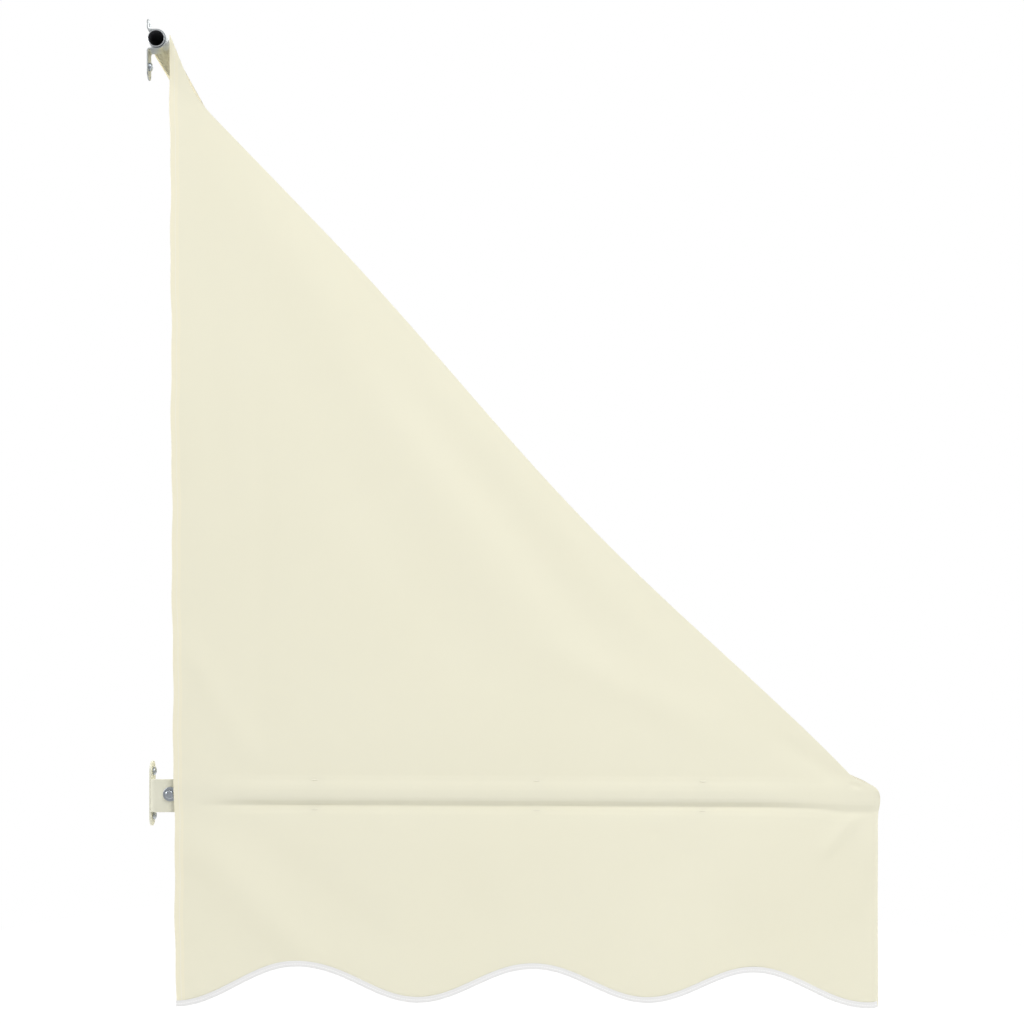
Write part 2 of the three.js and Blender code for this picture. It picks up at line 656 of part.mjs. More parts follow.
const FRONT_WAVES = Math.round(AWNING_WIDTH / SCALLOP_PITCH);
const SIDE_WAVES = Math.round(PROJECTION / SCALLOP_PITCH);

function frontScallopZ(x) {
  return scallopZ((FRONT_WAVES * (x + HALF_WIDTH)) / AWNING_WIDTH);
}

function sideScallopZ(y) {
  const share = (SIDE_EDGE_LOW_Y - y) / (SIDE_EDGE_LOW_Y - BAR_Y);
  return scallopZ(SIDE_WAVES * share - SCALLOP_DRIFT * Math.sin(Math.PI * share));
}

// Height of the slope at a share of its length, and at a share of the half width from the middle.
function slopeZ(share, across) {
  const slack = clamp((share - SLOPE_TAUT) / (1 - SLOPE_TAUT), 0, 1);
  const sag = SLOPE_SAG * Math.sin(Math.PI * slack) ** 2;
  const middle = MIDDLE_SAG * Math.sin(Math.PI * share) * (1 - across ** 2);
  return lerp(HEAD[1], FOOT[1], share) - sag - middle;
}

// The angle at which a line from a point touches a circle, seen from the circle's centre.
function tangentAngle(centre, radius, point, turn) {
  const away = [point[0] - centre[0], point[1] - centre[1]];
  return Math.atan2(away[1], away[0]) + turn * Math.acos(radius / Math.hypot(...away));
}

function slopeShareOf(y) {
  return (y - HEAD[0]) / (FOOT[0] - HEAD[0]);
}

const SLOPE_SHARES = [
  0,
  0.14,
  0.28,
  0.42,
  0.56,
  0.7,
  slopeShareOf(BAR_Y + FLARE_START),
  slopeShareOf(BAR_Y + (FLARE_START + FLARE_END) / 2),
  slopeShareOf(BAR_Y + FLARE_END),
  1,
];

// The back layer of the sleeve and the lap where it is sewn under the slope, from the lap's end to the tube.
function sleeveBack(slope, radius) {
  const along = new THREE.Vector2(slope[1][0] - HEAD[0], slope[1][1] - HEAD[1]).normalize();
  const inside = new THREE.Vector2(-along.y, along.x).multiplyScalar(CLOTH_T + SEAT_GAP);
  const onLap = (distance) => [
    HEAD[0] + inside.x + along.x * distance,
    HEAD[1] + inside.y + along.y * distance,
  ];
  const leaves = new THREE.Vector2(
    TOP_Y + radius * Math.cos(SLEEVE_LEAN),
    HEAD_HEIGHT - radius * Math.sin(SLEEVE_LEAN),
  );
  const bend = new THREE.Vector2(
    leaves.x - SLEEVE_BEND * Math.sin(SLEEVE_LEAN),
    leaves.y - SLEEVE_BEND * Math.cos(SLEEVE_LEAN),
  );
  const seam = onLap(LAP_START);
  const curve = new THREE.QuadraticBezierCurve(new THREE.Vector2(...seam), bend, leaves);
  const between = SLEEVE_SHARES.map((t) => curve.getPoint(t).toArray());
  return [onLap(LAP_START + LAP_LENGTH), seam, ...between];
}

// The section of the top panel in (y, z): lap, sleeve round the tube, steep head, slope, front bar, valance.
function panelSection(across) {
  const frontX = across * FRONT_HALF;
  const corner = smoothstep(Math.abs(across), CORNER_START, CORNER_FULL);
  const slope = SLOPE_SHARES.map((share) => [lerp(HEAD[0], FOOT[0], share), slopeZ(share, across)]);
  const tubeCentre = [TOP_Y, HEAD_HEIGHT];
  const touch = tangentAngle(tubeCentre, TUBE_R + CLOTH_SEAT, HEAD, -1) + 2 * Math.PI;
  const wrapR = (TUBE_R + CLOTH_SEAT) / Math.cos((touch + SLEEVE_LEAN) / WRAP_STEPS / 2);
  const wrap = arc(tubeCentre, wrapR, -SLEEVE_LEAN, touch, WRAP_STEPS);
  const seatR = lerp(TUBE_R, BALL_R, corner) + CLOTH_SEAT;
  const barTouch = tangentAngle([BAR_Y, BAR_Z], seatR, FOOT, 1);
  const frontR = seatR / Math.cos((Math.PI - barTouch) / FRONT_STEPS / 2);
  const front = arc([BAR_Y, BAR_Z], frontR, barTouch, Math.PI, FRONT_STEPS);
  const hangY = BAR_Y - lerp(TUBE_R + CLOTH_SEAT, CORNER_HANG, corner);
  const hemZ = frontScallopZ(frontX);
  const valance = VALANCE_SHARES.map((share) => [hangY, lerp(LOW_Z, hemZ, share)]);
  return [...sleeveBack(slope, wrapR), ...wrap, ...slope, ...front, ...valance];
}

// Shares of the half width at which the top panel has a section: even steps per wave, closer over the elbows.
function panelColumns() {
  const step = AWNING_WIDTH / FRONT_WAVES / SCALLOP_STEPS / FRONT_HALF;
  const columns = [];
  for (let share = 0; share < CORNER_START; share += step) columns.push(share);
  columns.push((CORNER_START + CORNER_FULL) / 2, CORNER_FULL, 1);
  return [...columns.slice(1).map((share) => -share).reverse(), ...columns];
}

function panelGrid() {
  return panelColumns().map((across) =>
    panelSection(across).map(([y, z]) => new THREE.Vector3(across * (sideX(y, z) - SIDE_TO_TOP), y, z)),
  );
}

function sideEdgeY(z) {
  const top = TOP_Y - TUBE_R - SIDE_EDGE_CLEAR;
  return lerp(SIDE_EDGE_LOW_Y, top, (z + VALANCE_DROP) / (HEAD_HEIGHT + SIDE_EDGE_RISE + VALANCE_DROP));
}

function sideFrontY(z) {
  const settled = BAR_Y - CORNER_HANG - CLOTH_T / 2;
  return lerp(settled, CORNER_Y - CLOTH_T / 2, clamp((z - LOW_Z) / (BAR_Z - LOW_Z), 0, 1));
}

// Upper edge of a side panel over the slope and round the corner elbow.
function sideTopZ(y) {
  if (y > FOOT[0]) return slopeZ(slopeShareOf(y), 1) + EDGE_OVERLAP;
  const radius = BALL_R + CLOTH_SEAT + CLOTH_T / 2;
  const slopeEnd = FOOT[1] + EDGE_OVERLAP;
  const round = BAR_Z + Math.sqrt(Math.max(radius ** 2 - (y - BAR_Y) ** 2, 0));
  return y > BAR_Y ? lerp(slopeEnd, BAR_Z + radius, (FOOT[0] - y) / (FOOT[0] - BAR_Y)) : round;
}

// A side panel's columns run from its lower edge to its top edge. Each gives its y at a height, and its top.
function sideColumns() {
  const steps = SIDE_WAVES * SCALLOP_STEPS;
  const flareStart = BAR_Y + FLARE_START;
  const flareEnd = BAR_Y + FLARE_END;
  const between = Array.from({ length: steps }, (_, i) => lerp(HEAD[0], flareStart, i / steps));
  const inner = [...between, flareStart, (flareStart + flareEnd) / 2, flareEnd, FOOT[0], BAR_Y];
  return [
    { yAt: sideEdgeY, top: HEAD_HEIGHT + SIDE_EDGE_RISE },
    ...inner.map((y) => ({ yAt: () => y, top: sideTopZ(y) })),
    ...CORNER_INSETS.map((inset) => ({
      yAt: (z) => sideFrontY(z) + inset,
      top: sideTopZ(sideFrontY(BAR_Z) + inset),
    })),
  ];
}

function sideGrid() {
  return sideColumns().map(({ yAt, top }) => {
    const low = sideScallopZ(yAt(-VALANCE_DROP));
    const level = Math.min(LEAN_FROM_Z, lerp(LOW_Z, top, 0.5));
    const heights = [
      low,
      lerp(low, LOW_Z, 0.5),
      LOW_Z,
      level,
      ...[0.25, 0.5, 0.75, 1].map((share) => lerp(level, top, share)),
    ];
    return heights.map((z) => new THREE.Vector3(sideX(yAt(z), z), yAt(z), z));
  });
}

// Binding tape folded over a lower edge: a U round the cloth, along the edge's own points.
function bindingTape(edge, outward) {
  const reach = CLOTH_T / 2 + SEAT_GAP + BINDING_T / 2;
  const below = -(SEAT_GAP + BINDING_T / 2);
  const section = [
    [-reach, BINDING_HEIGHT],
    [-reach, below],
    [reach, below],
    [reach, BINDING_HEIGHT],
  ];
  const grid = edge.map((point) =>
    section.map(([out, up]) => point.clone().addScaledVector(outward, out).add(new THREE.Vector3(0, 0, up))),
  );
  return sheet(grid, BINDING_T);
}

// The edge with its first and last point moved inwards along it.
function trimmedEdge(edge, startTrim, endTrim) {
  const toward = (from, to, distance) => from.clone().add(to.clone().sub(from).setLength(distance));
  const last = edge.length - 1;
  const trimmed = edge.slice(1, last);
  const first = startTrim ? toward(edge[0], edge[1], startTrim) : edge[0];
  const end = endTrim ? toward(edge[last], edge[last - 1], endTrim) : edge[last];
  return [first, ...trimmed, end];
}

function topPanel() {
  return named("top_panel", sheet(panelGrid(), CLOTH_T), creamCloth);
}

function frontBinding() {
  const edge = panelGrid().map((column) => column[column.length - 1]);
  const trimmed = trimmedEdge(edge, BINDING_END, BINDING_END);
  return named("front_binding", bindingTape(trimmed, new THREE.Vector3(0, 1, 0)), whiteTape);
}

function sidePanel() {
  return sheet(sideGrid(), CLOTH_T);
}

function sideBinding() {
  const edge = sideGrid().map((column) => column[0]);
  return bindingTape(edge.slice(0, -1), new THREE.Vector3(1, 0, 0));
}

// Straps

// A strap round the arm, in (x, z) from the arm's axis, its two ends flat on the inside of the side panel.
function armStrap() {
  const flat = SIDE_X - CLOTH_SEAT - STRAP_T / 2 - ARM_X;
  const lean = (SIDE_X - HEAD_X) / (HEAD_HEIGHT - LEAN_FROM_Z);
  const turn = Math.PI - ARM_STRAP_TURN;
  const radius = (TUBE_R + SEAT_GAP + STRAP_T / 2) / Math.cos(turn / ARM_STRAP_STEPS);
  const line = [
    [flat - lean * STRAP_REACH, STRAP_REACH],
    [flat - lean * STRAP_LEAVES, STRAP_LEAVES],
    ...arc([0, 0], radius, Math.PI - turn, Math.PI + turn, ARM_STRAP_STEPS),
    [flat, -STRAP_LEAVES],
    [flat, -STRAP_REACH],
  ];
  return extrudeForward(stripShape(line, STRAP_T), STRAP_WIDTH / 2, STRAP_WIDTH);
}

// A strap round the front bar, in (y, z): up the valance's inside, behind the bar and on under the slope.
function barStrap(across) {
  const valanceY = BAR_Y - TUBE_R - SEAT_GAP + STRAP_LAP_GAP + STRAP_T / 2;
  const slopePoint = (share) => [
    lerp(HEAD[0], FOOT[0], share),
    slopeZ(share, across) - (CLOTH_T / 2 + STRAP_LAP_GAP + STRAP_T / 2) * Math.SQRT2,
  ];
  const [from, to] = BAR_STRAP_TURN;
  const radius = (TUBE_R + SEAT_GAP + STRAP_T / 2) / Math.cos((to - from) / BAR_STRAP_STEPS / 2);
  const line = [
    [valanceY, BAR_Z - STRAP_REACH - TUBE_R],
    [valanceY, BAR_Z - STRAP_LEAVES],
    ...arc([BAR_Y, BAR_Z], radius, from, to, BAR_STRAP_STEPS),
    ...BAR_STRAP_SLOPE.map(slopePoint),
  ];
  return extrudeX(stripShape(line, STRAP_T), -STRAP_WIDTH / 2, STRAP_WIDTH / 2);
}

// Assembly

const FACING_FRONT = Math.PI; // turns a fastener's head from +Y to -Y, about Z
const FACING_OUT = -Math.PI / 2; // turns it to +X
const FACING_IN = Math.PI / 2; // turns it to -X
const SIDES = [
  ["left", -1],
  ["right", 1],
];

// The wall-side pieces of one side, for the side at +X.
function wallSide(side) {
  const group = new THREE.Group();
  const saddleMesh = named(`${side}_tube_saddle`, saddle(), galvanised);
  saddleMesh.position.set(0, TOP_Y, HEAD_HEIGHT);
  const bracket = named(`${side}_wall_bracket`, wallBracket(), platedBracket);
  group.add(saddleMesh, bracket);

  const saddleScrew = named(
    `${side}_saddle_screw`,
    panScrew(SCREW_HEAD_R, SCREW_HEAD_H, SCREW_R, SADDLE_T),
    darkZinc,
  );
  saddleScrew.rotation.z = FACING_FRONT;
  saddleScrew.position.set(
    (SADDLE_IN + SADDLE_OUT) / 2,
    -SADDLE_T - SEAT_GAP,
    HEAD_HEIGHT - SADDLE_HOLE_DOWN,
  );
  group.add(saddleScrew);

  for (const [place, z] of [
    ["upper", BRACKET_SCREW_Z],
    ["lower", -BRACKET_SCREW_Z],
  ]) {
    const screw = named(
      `${side}_bracket_screw_${place}`,
      panScrew(SCREW_HEAD_R, SCREW_HEAD_H, SCREW_R, BRACKET_T),
      darkZinc,
    );
    screw.rotation.z = FACING_FRONT;
    screw.position.set(
      TAB_OUT - BRACKET_WIDTH + BRACKET_EAR_WIDTH / 2,
      -BRACKET_T - SEAT_GAP,
      BRACKET_CENTRE_Z + z,
    );
    group.add(screw);
  }

  const outerWasherX = TAB_OUT + SEAT_GAP;
  const innerWasherX = ARM_X - ARM_FLAT_T / 2 - SEAT_GAP;
  const stack = [
    [`${side}_pivot_washer_outer`, washer(), outerWasherX, FACING_OUT],
    [`${side}_pivot_bolt`, pivotBolt(), outerWasherX + WASHER_T + SEAT_GAP, FACING_OUT],
    [`${side}_pivot_washer_inner`, washer(), innerWasherX, FACING_IN],
    [`${side}_pivot_nut`, pivotNut(), innerWasherX - WASHER_T - SEAT_GAP, FACING_IN],
  ];
  for (const [name, geometry, x, turn] of stack) {
    const piece = named(name, geometry, darkZinc);
    piece.rotation.z = turn;
    piece.position.set(x, PIVOT_Y, 0);
    group.add(piece);
  }
  return group;
}

// The swinging pieces of one side, from the pivot, for the side at +X.
function frameSide(side) {
  const group = new THREE.Group();
  const tube = named(`${side}_arm`, arm(), galvanised);
  tube.position.set(ARM_X, 0, 0);
  const elbow = named(`${side}_corner_elbow`, cornerElbow(), greyPlastic);
  elbow.position.set(ARM_X, -ARM_LENGTH, 0);
  group.add(tube, elbow);

  for (const [place, x, y] of [
    ["arm", ARM_X, BOSS_PLACE - ARM_LENGTH],
    ["bar", ARM_X - BOSS_PLACE, -ARM_LENGTH],
  ]) {
    const screw = named(
      `${side}_elbow_screw_${place}`,
      panScrew(ELBOW_SCREW_HEAD_R, ELBOW_SCREW_HEAD_H, ELBOW_SCREW_R, ELBOW_SCREW_LENGTH),
      darkZinc,
    );
    screw.rotation.x = -Math.PI / 2;
    screw.position.set(x, y, -BOSS_FACE - SEAT_GAP);
    group.add(screw);
  }

  ARM_STRAP_SHARES.forEach((share, i) => {
    const strap = named(`${side}_arm_strap_${i + 1}`, armStrap(), creamCloth);
    strap.position.set(ARM_X, -share * ARM_LENGTH, 0);
    group.add(strap);
  });
  return group;
}

function coverSide(side) {
  const group = new THREE.Group();
  group.add(named(`${side}_side_panel`, sidePanel(), creamCloth));
  group.add(named(`${side}_side_binding`, sideBinding(), whiteTape));
  return group;
}

function frontFrame() {
  const frame = new THREE.Group();
  frame.position.set(0, PIVOT_Y, 0);
  frame.rotation.x = FRAME_TILT;
  frame.add(frontBar());
  for (const [side, sign] of SIDES) {
    const group = frameSide(side);
    group.scale.x = sign;
    frame.add(group);
  }
  return frame;
}

const awning = new THREE.Group();
awning.name = "bistro_awning";
awning.add(topTube(), frontFrame(), topPanel(), frontBinding());
for (const [side, sign] of SIDES) {
  for (const group of [wallSide(side), coverSide(side)]) {
    group.scale.x = sign;
    awning.add(group);
  }
}
BAR_STRAP_SHARES.forEach((across, i) => {
  const strap = named(`bar_strap_${i + 1}`, barStrap(across), creamCloth);
  strap.position.x = across * FRONT_HALF;
  awning.add(strap);
});

export default awning;
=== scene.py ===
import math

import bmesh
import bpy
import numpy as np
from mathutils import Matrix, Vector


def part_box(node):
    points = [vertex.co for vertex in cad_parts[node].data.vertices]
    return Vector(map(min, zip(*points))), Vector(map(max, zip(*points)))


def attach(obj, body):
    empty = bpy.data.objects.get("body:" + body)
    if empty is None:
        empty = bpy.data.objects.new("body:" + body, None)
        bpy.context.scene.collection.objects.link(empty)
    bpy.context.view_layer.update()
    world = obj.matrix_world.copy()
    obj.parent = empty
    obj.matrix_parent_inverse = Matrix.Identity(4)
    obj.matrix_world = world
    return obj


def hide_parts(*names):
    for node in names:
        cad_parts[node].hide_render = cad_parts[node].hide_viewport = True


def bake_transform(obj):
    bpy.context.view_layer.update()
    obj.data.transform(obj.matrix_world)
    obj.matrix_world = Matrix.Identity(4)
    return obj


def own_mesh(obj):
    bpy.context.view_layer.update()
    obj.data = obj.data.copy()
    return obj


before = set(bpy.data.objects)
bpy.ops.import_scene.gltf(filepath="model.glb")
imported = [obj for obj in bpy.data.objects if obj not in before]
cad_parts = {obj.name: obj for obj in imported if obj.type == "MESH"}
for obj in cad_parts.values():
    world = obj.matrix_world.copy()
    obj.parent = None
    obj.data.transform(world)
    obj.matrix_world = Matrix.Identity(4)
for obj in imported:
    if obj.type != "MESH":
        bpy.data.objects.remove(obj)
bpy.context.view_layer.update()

# %% [markdown]
# ## A bistro awning, from its frame outwards
# The frame of this awning comes from a finished construction model: tubes, brackets, saddles and screws
# already stand in their places. What is missing is everything that makes it look real: cloth that hangs
# and creases, tape on the hems, zinc that catches the light. All lengths here are metres. X runs along
# the wall, the awning stands out to -Y and +Z is up.

SIDES = {"left": -1.0, "right": 1.0}


def together(*coordinates):
    """Joins coordinates into points, after stretching them all to one shape."""
    return np.stack(np.broadcast_arrays(*coordinates), axis=-1)


# %% [markdown]
# ## The camera
# The photograph looks along the wall at one side of the awning, with the image plane parallel to it: every
# upright stays upright. A level camera gives that. The picture shows 1.68 m of height at the near side,
# so the lens follows from the distance: focal length over sensor width is distance over picture width.
# The lens is shifted up and to the right a little, because the photographer stood lower than the picture's
# middle and nearer to the wall. A larger shift would push the awning out of the frame when the camera walks
# round it.

# %% Camera
NEAR_SIDE_X = -0.75
CAMERA_DISTANCE = 2.1
PICTURE_WIDTH = 1.679
PICTURE_MIDDLE = (-0.5986, 0.4646)
LENS_SHIFT = (0.07, 0.02)
SENSOR = 36.0

camera_data = bpy.data.cameras.new("side_camera")
camera_data.sensor_width = SENSOR
camera_data.lens = SENSOR * CAMERA_DISTANCE / PICTURE_WIDTH
camera_data.shift_x, camera_data.shift_y = LENS_SHIFT
camera_data.clip_end = 100
camera = bpy.data.objects.new("side_camera", camera_data)
camera.location = (
    NEAR_SIDE_X - CAMERA_DISTANCE,
    PICTURE_MIDDLE[0] + LENS_SHIFT[0] * PICTURE_WIDTH,
    PICTURE_MIDDLE[1] - LENS_SHIFT[1] * PICTURE_WIDTH,
)
camera.rotation_euler = (math.radians(90), 0, math.radians(-90))
bpy.context.collection.objects.link(camera)
bpy.context.scene.camera = camera
print("lens", round(camera_data.lens, 1), "mm at", [round(v, 3) for v in camera.location])

# %% [markdown]
# ## Finishes as sums
# A procedural finish is arithmetic on positions: sines for a weave, noise for a cloudy dye. Written as
# node links it's hard to read, so a small class wraps an output and turns + - * into Math nodes. One
# method adds every other node, in the surround as well as in the finishes.

# %% Wire, Nodes and Finish


class Wire:
    """An output of a node. Sums with numbers or other wires add Math nodes and give a new wire."""

    def __init__(self, nodes, socket):
        self.nodes = nodes
        self.socket = socket

    def math(self, operation, *others):
        return self.nodes.node("ShaderNodeMath", {"operation": operation}, [self, *others])

    def __add__(self, other):
        return self.math("ADD", other)

    def __mul__(self, other):
        return self.math("MULTIPLY", other)

    def __sub__(self, other):
        return self.math("SUBTRACT", other)

    def __rsub__(self, other):
        return self.nodes.node("ShaderNodeMath", {"operation": "SUBTRACT"}, [other, self])

    __radd__ = __add__
    __rmul__ = __mul__

    def sine(self):
        return self.math("SINE")

    def magnitude(self):
        return self.math("ABSOLUTE")

    def part(self, output):
        """Another output of the node that gave this wire."""
        return Wire(self.nodes, self.socket.node.outputs[output])

    def below(self, limit, soft):
        """1 where the wire is under the limit, falling to 0 over the soft width."""
        return self.nodes.node(
            "ShaderNodeMapRange",
            {"interpolation_type": "SMOOTHSTEP"},
            {"Value": self, "From Min": limit, "From Max": limit + soft, "To Min": 1.0, "To Max": 0.0},
        )


class Nodes:
    """The nodes of a material or a surround. node() adds any node and returns one of its outputs."""

    def __init__(self, tree):
        self.tree = tree

    def feed(self, socket, value):
        if isinstance(value, Wire):
            self.tree.links.new(value.socket, socket)
        elif hasattr(value, "__len__") and len(value) == 3 and socket.type == "RGBA":
            socket.default_value = (*value, 1)
        else:
            socket.default_value = value

    def node(self, kind, settings=None, inputs=(), output=0):
        added = self.tree.nodes.new(kind)
        for key, value in (settings or {}).items():
            setattr(added, key, value)
        pairs = inputs.items() if isinstance(inputs, dict) else enumerate(inputs)
        for key, value in pairs:
            self.feed(added.inputs[key], value)
        return Wire(self, added.outputs[output])

    def finish_with(self, output_name, wire):
        self.feed(self.tree.nodes[output_name].inputs["Surface"], wire)


class Finish(Nodes):
    """A material with one Principled shader, whose sockets take values or wires."""

    def __init__(self, name, **sockets):
        self.material = bpy.data.materials.new(name)
        self.material.use_nodes = True
        super().__init__(self.material.node_tree)
        self.shader = self.tree.nodes["Principled BSDF"]
        for socket, value in sockets.items():
            self.set(socket.replace("_", " "), value)

    def set(self, socket, value):
        self.feed(self.shader.inputs[socket], value)

    def place(self):
        return self.node("ShaderNodeTexCoord", output="Object")

    def noise(self, scale, detail=2.0, vector=None):
        inputs = {"Vector": vector or self.place(), "Scale": scale, "Detail": detail}
        return self.node("ShaderNodeTexNoise", None, inputs)

    def attribute(self, name):
        return self.node("ShaderNodeAttribute", {"attribute_name": name}, output="Fac")

    def colour_mix(self, share, first, second):
        inputs = {0: share, 6: first, 7: second}
        return self.node("ShaderNodeMix", {"data_type": "RGBA"}, inputs, output=2)

    def let_through(self, share, colour):
        """Mixes in a translucent shader: this share of the light leaves on the other side, tinted."""
        passing = self.node("ShaderNodeBsdfTranslucent", None, {"Color": colour})
        both = self.node("ShaderNodeMixShader", None, [share, Wire(self, self.shader.outputs[0]), passing])
        self.finish_with("Material Output", both)

    def bump(self, height, strength, distance):
        inputs = {"Height": height, "Strength": strength, "Distance": distance}
        self.set("Normal", self.node("ShaderNodeBump", None, inputs))


print("wire, nodes and finish ready")

# %% [markdown]
# ## Light
# Product pictures of pale cloth are lit from all round, with more light from above than from below, so
# that folds still read. The surround does that: its strength climbs with the height of the direction.
# What the camera sees behind the awning stays plain white. Broad lamps shape the folds: one high on the
# camera's side, one in front of the awning, one behind the far side, and one where the wall would be, whose
# light glows through the sleeve round the top tube.

# %% Surround and lamps
SURROUND_LOW, SURROUND_HIGH = 0.4, 0.74
HEIGHT_LOW, HEIGHT_HIGH = -0.6, 0.8
WHITE = (1, 1, 1)
MIDDLE = Vector((0, -0.6, 0.45))

scene = bpy.context.scene
scene.view_settings.view_transform = "Standard"
scene.view_settings.look = "None"
world = bpy.data.worlds.new("surround")
scene.world = world
world.use_nodes = True
sky = Nodes(world.node_tree)
sky.tree.nodes.remove(sky.tree.nodes["Background"])
direction = sky.node("ShaderNodeTexCoord", output="Generated")
height = sky.node("ShaderNodeSeparateXYZ", None, [direction], "Z")
climb = {"From Min": HEIGHT_LOW, "From Max": HEIGHT_HIGH, "To Min": SURROUND_LOW, "To Max": SURROUND_HIGH}
strength = sky.node("ShaderNodeMapRange", None, {"Value": height, **climb})
lighting = sky.node("ShaderNodeBackground", None, {"Color": WHITE, "Strength": strength})
backdrop = sky.node("ShaderNodeBackground", None, {"Color": WHITE})
seen = sky.node("ShaderNodeLightPath", output="Is Camera Ray")
sky.finish_with("World Output", sky.node("ShaderNodeMixShader", None, [seen, lighting, backdrop]))


def lamp(name, place, size, watts):
    """A square area lamp at a place, turned to face the awning's middle."""
    data = bpy.data.lights.new(name, "AREA")
    data.size = size
    data.energy = watts
    lit = bpy.data.objects.new(name, data)
    lit.location = place
    lit.rotation_euler = (MIDDLE - Vector(place)).to_track_quat("-Z", "Y").to_euler()
    bpy.context.collection.objects.link(lit)


lamp("high_lamp", (-3.6, -2.2, 3.4), 1.8, 122)
lamp("front_lamp", (1.2, -5.0, 1.4), 2.4, 42)
lamp("far_lamp", (4.0, -0.5, 2.2), 2.4, 60)
lamp("wall_side_lamp", (-0.3, 3.2, 1.7), 2.4, 115)
print("surround", SURROUND_LOW, "to", SURROUND_HIGH)

# %% [markdown]
# ## Floor
# The awning hangs on a wall, so the floor is plain, pale and well below it. It's a round plate of pale
# paint whose rim turns into the white of the backdrop: the paint's colour fades out with the distance from
# the middle, and a glow takes its place. So no horizon cuts through the picture.

# %% Floor
FLOOR_Z = -1.3
FLOOR_R = 3.4
FLOOR_SIDES = 96
FADE_FROM, FADE_TO = 0.9, 3.0

floor_finish = Finish("floor_paint", Roughness=0.9, Emission_Strength=1.0)
from_middle = floor_finish.node("ShaderNodeVectorMath", {"operation": "LENGTH"}, [floor_finish.place()], 1)
inside = from_middle.below(FADE_FROM, FADE_TO - FADE_FROM)
cloud = floor_finish.noise(0.8, 3.0) * 0.02 + 0.9
floor_finish.set("Base Color", floor_finish.colour_mix(inside * cloud, (0, 0, 0), WHITE))
floor_finish.set("Emission Color", floor_finish.colour_mix(inside, WHITE, (0, 0, 0)))

turn = np.linspace(0, 2 * np.pi, FLOOR_SIDES, endpoint=False)
floor_mesh = bpy.data.meshes.new("floor")
rim_points = together(np.cos(turn) * FLOOR_R, np.sin(turn) * FLOOR_R, 0)
floor_mesh.from_pydata(rim_points.tolist(), [], [list(range(FLOOR_SIDES))])
floor_mesh.materials.append(floor_finish.material)
floor = bpy.data.objects.new("floor", floor_mesh)
floor.location = (0, MIDDLE.y, FLOOR_Z)
bpy.context.collection.objects.link(floor)
print("floor", FLOOR_Z, "radius", FLOOR_R)

# %% [markdown]
# ## Metal finishes
# Galvanised tube is grey with a faint cloud in its zinc; bright zinc plate is smoother and a little blue.
# The lower brackets have a light grey coat. Each is one base colour that drifts slightly, a roughness that
# drifts with it, and a very shallow bump, so that a highlight breaks up as it does on pressed steel.

# %% Metals, coat and plastic


def metal(name, dark, light, rough, cloud, metallic=1.0, bump=0.02):
    """Colour and roughness both follow one soft noise, and a fine noise gives the surface its grain."""
    finish = Finish(name, Metallic=metallic)
    drift = finish.noise(cloud, 4.0)
    grain = finish.noise(cloud * 30, 2.0)
    finish.set("Base Color", finish.colour_mix(drift, dark, light))
    finish.set("Roughness", drift * (rough[1] - rough[0]) + rough[0])
    finish.bump(grain, bump, 0.0004)
    return finish.material


METALS = {
    "tube_steel": metal("galvanised_tube", (0.42, 0.44, 0.46), (0.58, 0.6, 0.62), (0.3, 0.5), 60),
    "saddle_steel": metal("bright_zinc", (0.4, 0.42, 0.42), (0.58, 0.61, 0.62), (0.36, 0.5), 45),
    "bracket_steel": metal(
        "pale_grey_coat", (0.7, 0.69, 0.565), (0.77, 0.76, 0.63), (0.38, 0.5), 35, 0.15, 0.03
    ),
    "fastener_steel": metal("blue_zinc", (0.36, 0.39, 0.43), (0.52, 0.56, 0.6), (0.25, 0.42), 90),
    "elbow_plastic": metal(
        "grey_moulding", (0.4, 0.4, 0.39), (0.46, 0.46, 0.45), (0.5, 0.62), 80, 0.0, 0.06
    ),
}
print("metals", list(METALS))

# %% [markdown]
# ## Cloth finishes
# The cover is a plain-woven polyester in cream. Two sines at right angles, one along each thread
# direction, make the weave, and they run on the flat cut's own metres, so the threads keep their size
# however the cloth bends. Where the cloth is folded double at a hem, less light comes through and the
# cream turns yellower. A row of stitches follows each seam: a narrow band at a fixed distance from the
# edge, chopped into dashes by a sine along it. Daylight comes through thin cloth and leaves it on the
# other side a warmer cream, so a second, translucent shader is mixed in with a fixed share. The top panel
# faces the sky and passes the most. The sides pass less, so the arms behind them shade them softly.

# %% Cream cloth and white tape
THREAD_PITCH = 0.0009
STITCH_PITCH = 0.0042
HEM_WIDTH = 0.0135


def weave(finish, pitch):
    """Height of a plain weave: the product of a sine along each thread direction."""
    turn = 2 * math.pi / pitch
    flat = finish.node("ShaderNodeUVMap", {"uv_map": "flat_cut"})
    parts = finish.node("ShaderNodeSeparateXYZ", None, [flat])
    across = (parts * turn).sine()
    along = (parts.part(1) * turn).sine()
    return across * along * 0.5 + 0.5, flat


